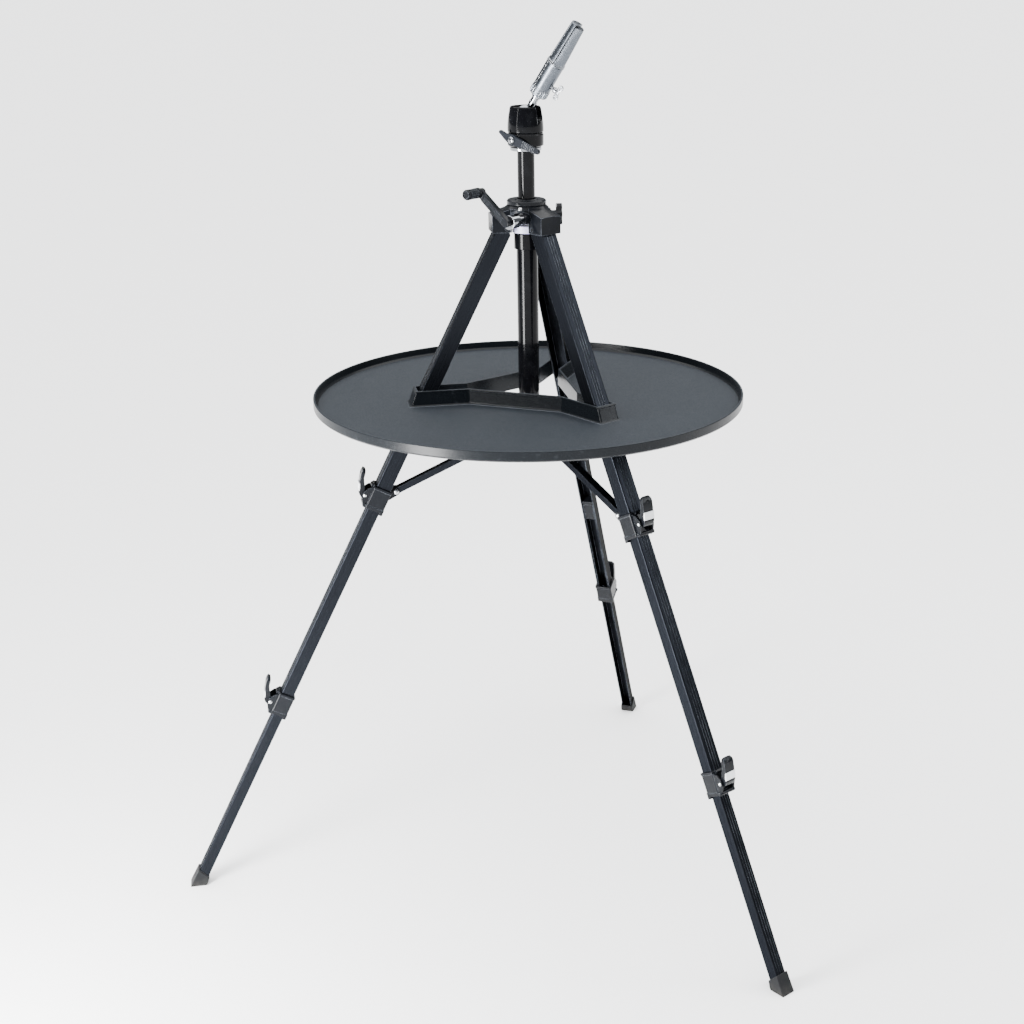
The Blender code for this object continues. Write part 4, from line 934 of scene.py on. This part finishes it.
def crank_hub():
    """Pinion, shaft and the bright hub with a hole in its side."""
    gear = []
    root, tip = PINION_TEETH / 2 - 1.25, PINION_TEETH / 2 + 0.9
    for index in range(PINION_TEETH):
        middle = pi / 2 + 2 * pi * index / PINION_TEETH
        for radius, half in ((root, 0.95), (tip, 0.35), (tip, -0.35), (root, -0.95)):
            angle = middle - half / radius
            gear.append((radius * cos(angle), radius * sin(angle)))
    outline = [(0, -3), (SHAFT_RADIUS, -3), (SHAFT_RADIUS, 31.5), (5.6, 31.5), (5.6, 40), (8, 41.5)]
    outline += [(8, ARM_START - 3), (8.8, ARM_START - 2.4), (8.8, ARM_START - GAP)]
    outline += [(SHAFT_RADIUS, ARM_START - GAP), (SHAFT_RADIUS, ARM_END), (0, ARM_END)]
    shape = fuse(soft_lathe(outline, 0.6, 64), prism(gear, -2.4, 2.4))
    hole = placed(cylinder(1.6, 3, 12, 24), shift(0, 0, 50) @ spin(60) @ spin(90, "Y"))
    return cut(shape, hole)


def arm_plate():
    """The arm: a narrow bar, thickened and grooved lengthwise up to the grip's boss."""
    half, cover_end, top = 4.7, ARM_LENGTH - GRIP_RADIUS - 2, ARM_END + 2.4
    plan = arc((0, 0), half + 0.3, 90, 270, 20) + arc((ARM_LENGTH, 0), half + 0.6, -90, 90, 16)
    shape = soft_prism(plan, ARM_START, ARM_END, 0.6)
    cover = arc((0, 0), half + 0.3, 90, 270, 16) + [(cover_end, -half), (cover_end, half)]
    shape = fuse(shape, soft_prism(cover, ARM_END - 1, top, 0.8))
    for low, high in ((-3.1, -1.9), (-0.6, 0.6), (1.9, 3.1)):
        shape = cut(shape, box((6, low, top - 0.9), (cover_end - 3, high, top + 5)))
    for start in (cover_end + 1, cover_end + 3.4):
        shape = cut(shape, box((start, -3.4, ARM_END - 0.9), (start + 1.2, 3.4, ARM_END + 5)))
    reach = shift(ARM_LENGTH, 0, 0)
    axle, back = cylinder(2.6, ARM_END - 2, GRIP_END - 4), cylinder(5.2, ARM_START - 2, ARM_END - 2.5)
    shape = fuse(shape, placed(axle, reach), placed(back, reach))
    return cut(shape, cylinder(SHAFT_RADIUS + GAP, 0, ARM_END + GAP))


def grip_barrel():
    """A fluted handle with a waist and a dished end."""
    start, end = ARM_END + GAP, GRIP_END
    outline = near(0, start, (2.9, 0), (5.4, 0), (6.1, 0.5))
    outline += near(GRIP_RADIUS, start, (0, 1.6), (0, 8), (-0.25, 13))
    outline += near(GRIP_RADIUS, end, (0, -4), (0, -2.2), (-0.6, -0.9))
    outline += near(0, end, (4.9, 0), (4.2, -0.4), (3.8, -1.6), (0, -1.6), (0, -3.5), (2.9, -3.5))

    def flutes(index, radius, height):
        inside = start + 2.5 < height < end - 3
        return -0.75 if radius > 5 and inside and index % 4 in (0, 1) else 0

    fine = []
    for (r0, z0), (r1, z1) in zip(outline, outline[1:] + outline[:1]):
        fine.append((r0, z0))
        if r0 > 5 and r1 > 5 and z1 > z0 + 3:
            fine += [(r0 + (r1 - r0) * t, z0 + (z1 - z0) * t) for t in (0.12, 0.5, 0.88)]
    return lathe(fine, 64, flutes)


def build_crank():
    bearing = soft_tube(SHAFT_RADIUS + GAP, 6.6, 6, 31, 0.6, 48)
    piece("shaft_bearing", "stand", bearing, "black_plastic", crank_frame(), "crank_bearing")
    piece("crank_hub", "crank", crank_hub(), "chrome", crank_frame(), "crank_shaft")
    piece("crank_bar", "crank", arm_plate(), "black_plastic", crank_arm_turn(), "crank_arm", 50)
    turn = crank_arm_turn() @ shift(ARM_LENGTH, 0, 0)
    piece("grip_barrel", "grip", grip_barrel(), "black_plastic", turn, "crank_grip")


# Tray


def star_ring(half, tip, height):
    """One level of the three-armed outline, with filleted corners."""
    shrink = STAR_LEAN * (height - TRAY_BOTTOM)
    ring = []
    chord = STAR_OUTER_HALF - half
    for azimuth in sorted(LEG_AZIMUTHS.values()):
        out, side = compass(azimuth), compass(azimuth + 90)
        corner = STAR_BREAK - chord * tan(radians(30))
        for along, across in ((corner, -half), (tip - shrink, -half), (tip - shrink, half), (corner, half)):
            point = out * along + side * across
            ring.append((point.x, point.y))
    return [(x, y, height) for x, y in rounded(ring, 2.2, 4)]


def star_loft(half, tip, stations):
    return loft([star_ring(half + proud, tip + proud, height) for proud, height in stations])


def tray_disc():
    """A rolled-rim disc with a beaded, walled opening that has one arm for each leg."""
    surface, inside = TRAY_BOTTOM + TRAY_PLATE, TRAY_RADIUS - TRAY_RIM_WALL
    outline = [(0, TRAY_BOTTOM)] + near(TRAY_RADIUS, TRAY_BOTTOM, (-2.4, 0), (0, 2.4), (0, TRAY_RIM_HEIGHT))
    outline.append((inside, TRAY_BOTTOM + TRAY_RIM_HEIGHT))
    outline += near(inside, surface, (-0.8, 2.6), (-3.2, 0)) + [(0, surface)]
    shape = soft_lathe(outline, 1.2, 256)
    top = surface + STAR_WALL_HEIGHT
    wall = near(0, surface, (2.4, -1), (2.2, 0.3), (0.8, 0.9), (0, 2.4))
    wall += near(0, top, (0, -2.6), (0.7, -2), (0.8, -0.9), (0.3, -0.1), (-0.5, 0))
    opening = near(0, TRAY_BOTTOM, (0.9, -2), (0.8, 0), (0, 0.9))
    opening += near(0, top, (0, -0.7), (0.6, 0), (0.9, 3))
    shape = fuse(shape, star_loft(STAR_OUTER_HALF, STAR_OUTER_TIP, wall))
    return cut(shape, star_loft(STAR_INNER_HALF, STAR_INNER_TIP, opening))


def build_tray():
    piece("tray_disc", "tray", tray_disc(), "tray_plastic", None, "tray", 50)


# Head


def collar_shape():
    recess, floor = COLUMN_RADIUS + GAP, COLUMN_TOP + GAP
    outline = [(recess, COLLAR_BOTTOM)] + near(HEAD_RADIUS, COLLAR_BOTTOM, (-2.2, 0), (-0.2, 1.6), (0, 5))
    outline += near(HEAD_RADIUS, COLLAR_TOP, (0, -2.4), (-0.7, -1.6), (-0.7, 0))
    outline += [(0, COLLAR_TOP), (0, floor), (recess, floor)]
    screw_hole = placed(cylinder(2.4 + GAP, 17, 40), tilt_lever_frame())
    return cut(soft_lathe(outline, 0.6, 96), screw_hole)


def cup_shape():
    """A tapered gloss cup with a rolled lip, a ball socket and a slot for the stem."""
    low = COLLAR_TOP + GAP
    outline = [(0, low)] + near(HEAD_RADIUS, low, (-0.9, 0), (0, 0.9), (0, 6))
    outline += near(HEAD_RADIUS, low, (-0.35, 12), (-1.2, 19), (-2.4, 25.5))
    outline += near(CUP_TOP_RADIUS, CUP_TOP, (0.1, -1.6), (-1, -0.3), (-1.6, 0))
    outline += near(CUP_OPENING, CUP_TOP, (0, -0.2), (-0.8, -2)) + [(CUP_OPENING - 0.8, BALL_HEIGHT)]
    socket = BALL_RADIUS + 0.5
    outline += arc((0, BALL_HEIGHT), socket, 0, -75, 5)
    shape = lathe(outline + [(0, BALL_HEIGHT - socket)], 96)
    half, floor = SLOT_HALF_WIDTH, SLOT_FLOOR + SLOT_HALF_WIDTH
    keyhole = [(half, floor), (half, CUP_TOP + 9), (-half, CUP_TOP + 9)]
    keyhole += arc((0, floor), half, 180, 360, 16)[:-1]
    return cut(shape, placed(prism(keyhole, 8, 40, ALONG_X), spin(SLOT_AZIMUTH)))


def slot_lip():
    """A rounded bead that follows the slot's edge on the cup's outside."""
    floor, half = SLOT_FLOOR + SLOT_HALF_WIDTH, SLOT_HALF_WIDTH + 0.5
    rise = (CUP_TOP - 2.2, (CUP_TOP + floor) / 2)
    path = [(half, height) for height in rise] + arc((0, floor), half, 0, -180, 16)
    path += [(-half, height) for height in reversed(rise)]
    outwards, rings = Vector((1, 0, 0)), []
    for index, (across, height) in enumerate(path):
        before, after = path[max(index - 1, 0)], path[min(index + 1, len(path) - 1)]
        along = Vector((0, after[0] - before[0], after[1] - before[1])).normalized()
        share = (height - COLLAR_TOP - 6) / (CUP_TOP - COLLAR_TOP - 6)
        skin = HEAD_RADIUS - (HEAD_RADIUS - CUP_TOP_RADIUS) * max(share, 0) ** 1.4
        out = sqrt(max(skin * skin - across * across, 1)) - 0.35
        side = along.cross(outwards)
        circle = arc((0, 0), 0.75, 0, 315, 7)
        rings.append([Vector((out, across, height)) + side * x + outwards * y for x, y in circle])
    return loft(rings)


def ball_and_stem():
    stem_angle = degrees(acos(STEM_RADIUS / BALL_RADIUS))
    outline = [(0, -BALL_RADIUS)] + arc((0, 0), BALL_RADIUS, -90, stem_angle, 24)[1:]
    end = RING_START - GAP
    outline += near(STEM_RADIUS, 0, (0, 17), (0.5, 17.4), (0.5, 20.6), (0, 21))
    outline += near(STEM_RADIUS, end, (0, -5), (1.2, -4.2), (1.2, 0)) + [(0, end)]
    return lathe(outline, 64)


def plug_profile(start):
    """From the given height up: the base, a double bead at the step, and the taper."""
    outline = [(0, start), (PLUG_RADIUS, start)]
    outline += near(PLUG_RADIUS, PLUG_STEP, (0, -4.6), (0.45, -4), (0.45, -2.6))
    outline += near(PLUG_RADIUS, PLUG_STEP, (-0.3, -2.2), (0.3, -1.6), (0.2, -0.4))
    outline += near(TAPER_RADIUS, PLUG_STEP, (0, 0), (-0.1, 2))
    return outline + near(TIP_RADIUS, PLUG_END, (0, -1.4), (-0.4, -0.4), (-1.2, 0)) + [(0, PLUG_END)]


def fixed_half():
    """The fluted ring, the thin rail and the fixed half of the taper, with two long grooves."""
    shape = lathe(plug_profile(RING_START), 72)
    slot = box((-20, -20, RING_END), (RAIL_FACE, 20, PLUG_STEP - 1))
    split = box((-20, -20, PLUG_STEP - 2), (TAPER_BASE_FACE, 20, PLUG_END + 10))
    shape = cut(shape, slot, split)
    lean = spin(-degrees(atan2(TAPER_RADIUS - TIP_RADIUS, PLUG_END - PLUG_STEP)), "Y")
    step = shift(0, 0, PLUG_STEP)
    for side in (-1, 1):
        groove = prism(arc((0, 0), 0.75, 0, 360, 12)[:-1], PLUG_STEP + 4, PLUG_END + 10)
        spot = spin(side * 48) @ shift(TAPER_RADIUS + 0.1, 0, 0)
        shape = cut(shape, placed(groove, spot @ step @ lean @ step.inverted()))
    return shape


def fluted_ring():
    """Upright flutes round the plug's base ring."""

    def flutes(index, radius, height):
        return -0.8 if radius > PLUG_RADIUS and index % 4 < 2 else 0

    low, high = RING_START + 1, RING_END - 1.2
    outline = near(PLUG_RADIUS, low, (-1, 0), (0.3, 0), (0.5, 0.5))
    outline += near(PLUG_RADIUS, high, (0.5, -0.5), (0.3, 0), (-1, 0))
    return lathe(outline, 112, flutes)


def moving_half():
    """The jaw: a heavy half-round body whose taper is knurled."""

    def knurl(index, radius, height):
        return -0.32 if height > PLUG_STEP + 3 and radius > 7 and index % 4 < 2 else 0

    profile = plug_profile(RING_END + GAP)
    narrowing, length = TIP_RADIUS - TAPER_RADIUS, PLUG_END - PLUG_STEP
    taper = [(TAPER_RADIUS + narrowing * t, PLUG_STEP + length * t) for t in (0.1, 0.3, 0.6, 0.95)]
    shape = lathe(profile[:-4] + taper + profile[-3:], 144, knurl)
    slot = box((JAW_FACE, -20, 0), (20, 20, PLUG_END + 10))
    split = box((TAPER_JAW_FACE, -20, PLUG_STEP - 2), (20, 20, PLUG_END + 10))
    end = box((-20, -20, JAW_END), (20, 20, PLUG_END + 10))
    return cut(shape, slot, split, end, placed(cylinder(2.9, -10, 40), wing_turn()))


def threaded_wing():
    """A threaded stem with a hub and two butterfly wings."""
    stem = [(0, GAP - RAIL_FACE), (2.0, GAP - RAIL_FACE)]
    low, high, pitch = 0.2 - RAIL_FACE + 0.6, 14, 0.9
    for index in range(int((high - low) / pitch)):
        stem += [(2.5, low + (index + 0.3) * pitch), (2.1, low + (index + 0.8) * pitch)]
    stem += [(2.5, high + 0.6), (2.5, WING_REACH - 3), (0, WING_REACH - 3)]
    hub = [(0, 15), (3.2, 15), (3.7, 15.8), (3.4, 18.6)]
    hub += near(0, WING_REACH, (2.6, -0.6), (1.6, 0.2), (0, 0.4))
    wing = arc((6.5, 1), 3.4, -130, 130, 14) + [(2, 2.2), (-2, 2.2)] + arc((-6.5, 1), 3.4, 50, 310, 14)
    wing += [(-2, -2.2), (2, -2.2)]
    blades = soft_prism(wing, -1.3, 1.3, 0.6, SIDEWAYS)
    for along in (-6.5, 6.5):
        for turn in (90, 270):
            dish = placed(cylinder(2.1, 0.7, 3, 32), shift(along, 0, 1) @ spin(turn, "X"))
            blades = cut(blades, dish)
    return fuse(lathe(stem, 32), lathe(hub, 40), placed(blades, shift(0, 0, WING_REACH)))


def thumb_lever():
    long_arm = [(14, 5.6), (30, 4.4), (40, 4.2)] + arc((41, 1), 3.4, 60, -60, 8) + [(38, -2.6), (16, -4.4)]
    short_arm = [(-12, -3), (-19, 0.4)] + arc((-20, 3), 2.4, 230, 90, 8) + [(-12, 4.6)]
    outline = arc((0, 0), 7, 120, 60, 6) + long_arm + arc((0, 0), 7, -50, -125, 8) + short_arm
    shape = soft_prism(outline, 23.2, 27.2, 0.7)
    for index in range(7):
        notch = box((17 + index * 3.1, -8, 26.4), (18.2 + index * 3.1, 8, 30))
        shape = cut(shape, notch)
    return cut(shape, cylinder(2.4 + GAP, 0, 60))


def lever_bolt():
    outline = [(0, 17.5), (2.4, 17.5), (2.4, 27.5), (4.2, 27.5)]
    outline += [(4.4, 28.4), (3.8, 29.4), (2.4, 29.9), (0, 30)]
    slot = box((-6, -0.5, 29.1), (6, 0.5, 34))
    return cut(lathe(outline, 40), placed(slot, spin(35)))


def build_head():
    piece("collar", "column", collar_shape(), "gloss_black", None, "head_collar")
    washer = soft_tube(COLUMN_RADIUS + 0.1, 19.6, COLLAR_BOTTOM - 5, COLLAR_BOTTOM - 0.1, 1.2)
    piece("collar_washer", "column", washer, "chrome")
    piece("lever_bolt", "column", lever_bolt(), "chrome", tilt_lever_frame(), "lever_screw")
    slope = tilt_lever_frame() @ spin(-90 - TILT_LEVER_SLOPE)
    piece("thumb_lever", "head_lever", thumb_lever(), "lever_grey", slope, "tilt_lever", 50)
    piece("cup", "cup", cup_shape(), "gloss_black", None, "head_cup")
    slot_turn = spin(SLOT_AZIMUTH)
    piece("slot_lip", "cup", slot_lip(), "gloss_black", slot_turn)
    piece("ball_and_stem", "plug", ball_and_stem(), "chrome", plug_frame(), "ball_stem")
    piece("plug_half", "plug", fixed_half(), "cast_zinc", plug_frame(), "plug_base")
    piece("plug_ring", "plug", fluted_ring(), "cast_zinc", plug_frame())
    piece("jaw_half", "jaw", moving_half(), "cast_zinc", plug_frame(), "plug_jaw")
    wing_place = plug_frame() @ wing_turn()
    piece("butterfly_screw", "wing", threaded_wing(), "chrome", wing_place, "wing_screw")


# Studio


def build_floor():
    mesh = bpy.data.meshes.new("floor")
    edge = corners(-FLOOR_REACH, -FLOOR_REACH, FLOOR_REACH, FLOOR_REACH)
    mesh.from_pydata([(x, y, 0) for x, y in edge], [], [(0, 1, 2, 3)])
    mesh.materials.append(floor_paint())
    linked("floor", mesh)


def area_light(name, location, target, size, power, colour=(1, 1, 1)):
    data = bpy.data.lights.new(name, "AREA")
    data.shape = "RECTANGLE"
    data.size, data.size_y = size
    data.energy = power
    data.color = colour
    item = linked(name, data)
    item.location = location
    item.rotation_mode = "QUATERNION"
    item.rotation_quaternion = (Vector(target) - Vector(location)).to_track_quat("-Z", "Y")


def ceiling_light():
    """An even overhead glow, as from a ceiling-wide diffuser."""
    data = bpy.data.lights.new("ceiling", "SUN")
    data.energy = CEILING_STRENGTH
    data.angle = radians(CEILING_SPREAD)
    linked("ceiling", data).location = (0, 0, 4)


def build_lights():
    ceiling_light()
    area_light("left_box", (-0.62, -1.24, 0.46), (0, -0.1, 0.62), (0.4, 0.84), 74)
    area_light("left_strip", (-1.6, -2.3, 1.4), (0, -0.1, 0.85), (0.08, 2.8), 30)
    area_light("right_strip", (2.8, 0.6, 1.9), (0, 0, 0.7), (0.1, 1.8), 26, PALE_BLUE)
    world = bpy.data.worlds.new("studio")
    bpy.context.scene.world = world
    world.use_nodes = True
    background = world.node_tree.nodes["Background"]
    background.inputs["Color"].default_value = (*PALE_BLUE, 1)
    background.inputs["Strength"].default_value = WORLD_STRENGTH


def build_camera():
    """The photograph's viewpoint, with the lens shifted as its crop was."""
    pitch = radians(CAMERA_PITCH)
    forward = compass(CAMERA_AZIMUTH) * cos(pitch) + UP * sin(pitch)
    right = forward.cross(UP).normalized()
    data = bpy.data.cameras.new("camera")
    data.sensor_width = 36
    data.lens = CAMERA_LENS
    data.shift_x, data.shift_y = CAMERA_SHIFT
    data.clip_start, data.clip_end = 0.05, VIEW_REACH
    item = linked("camera", data)
    turn = Matrix((right, right.cross(forward), -forward)).transposed().to_4x4()
    item.matrix_world = shift(CAMERA_X, COLUMN_Y * MILLIMETRE - CAMERA_BEHIND_COLUMN, CAMERA_HEIGHT) @ turn
    bpy.context.scene.camera = item


def build():
    build_legs()
    build_shoulder()
    build_sheath()
    build_hub()
    build_column()
    build_crank()
    build_tray()
    build_head()
    build_floor()
    build_lights()
    build_camera()


build()
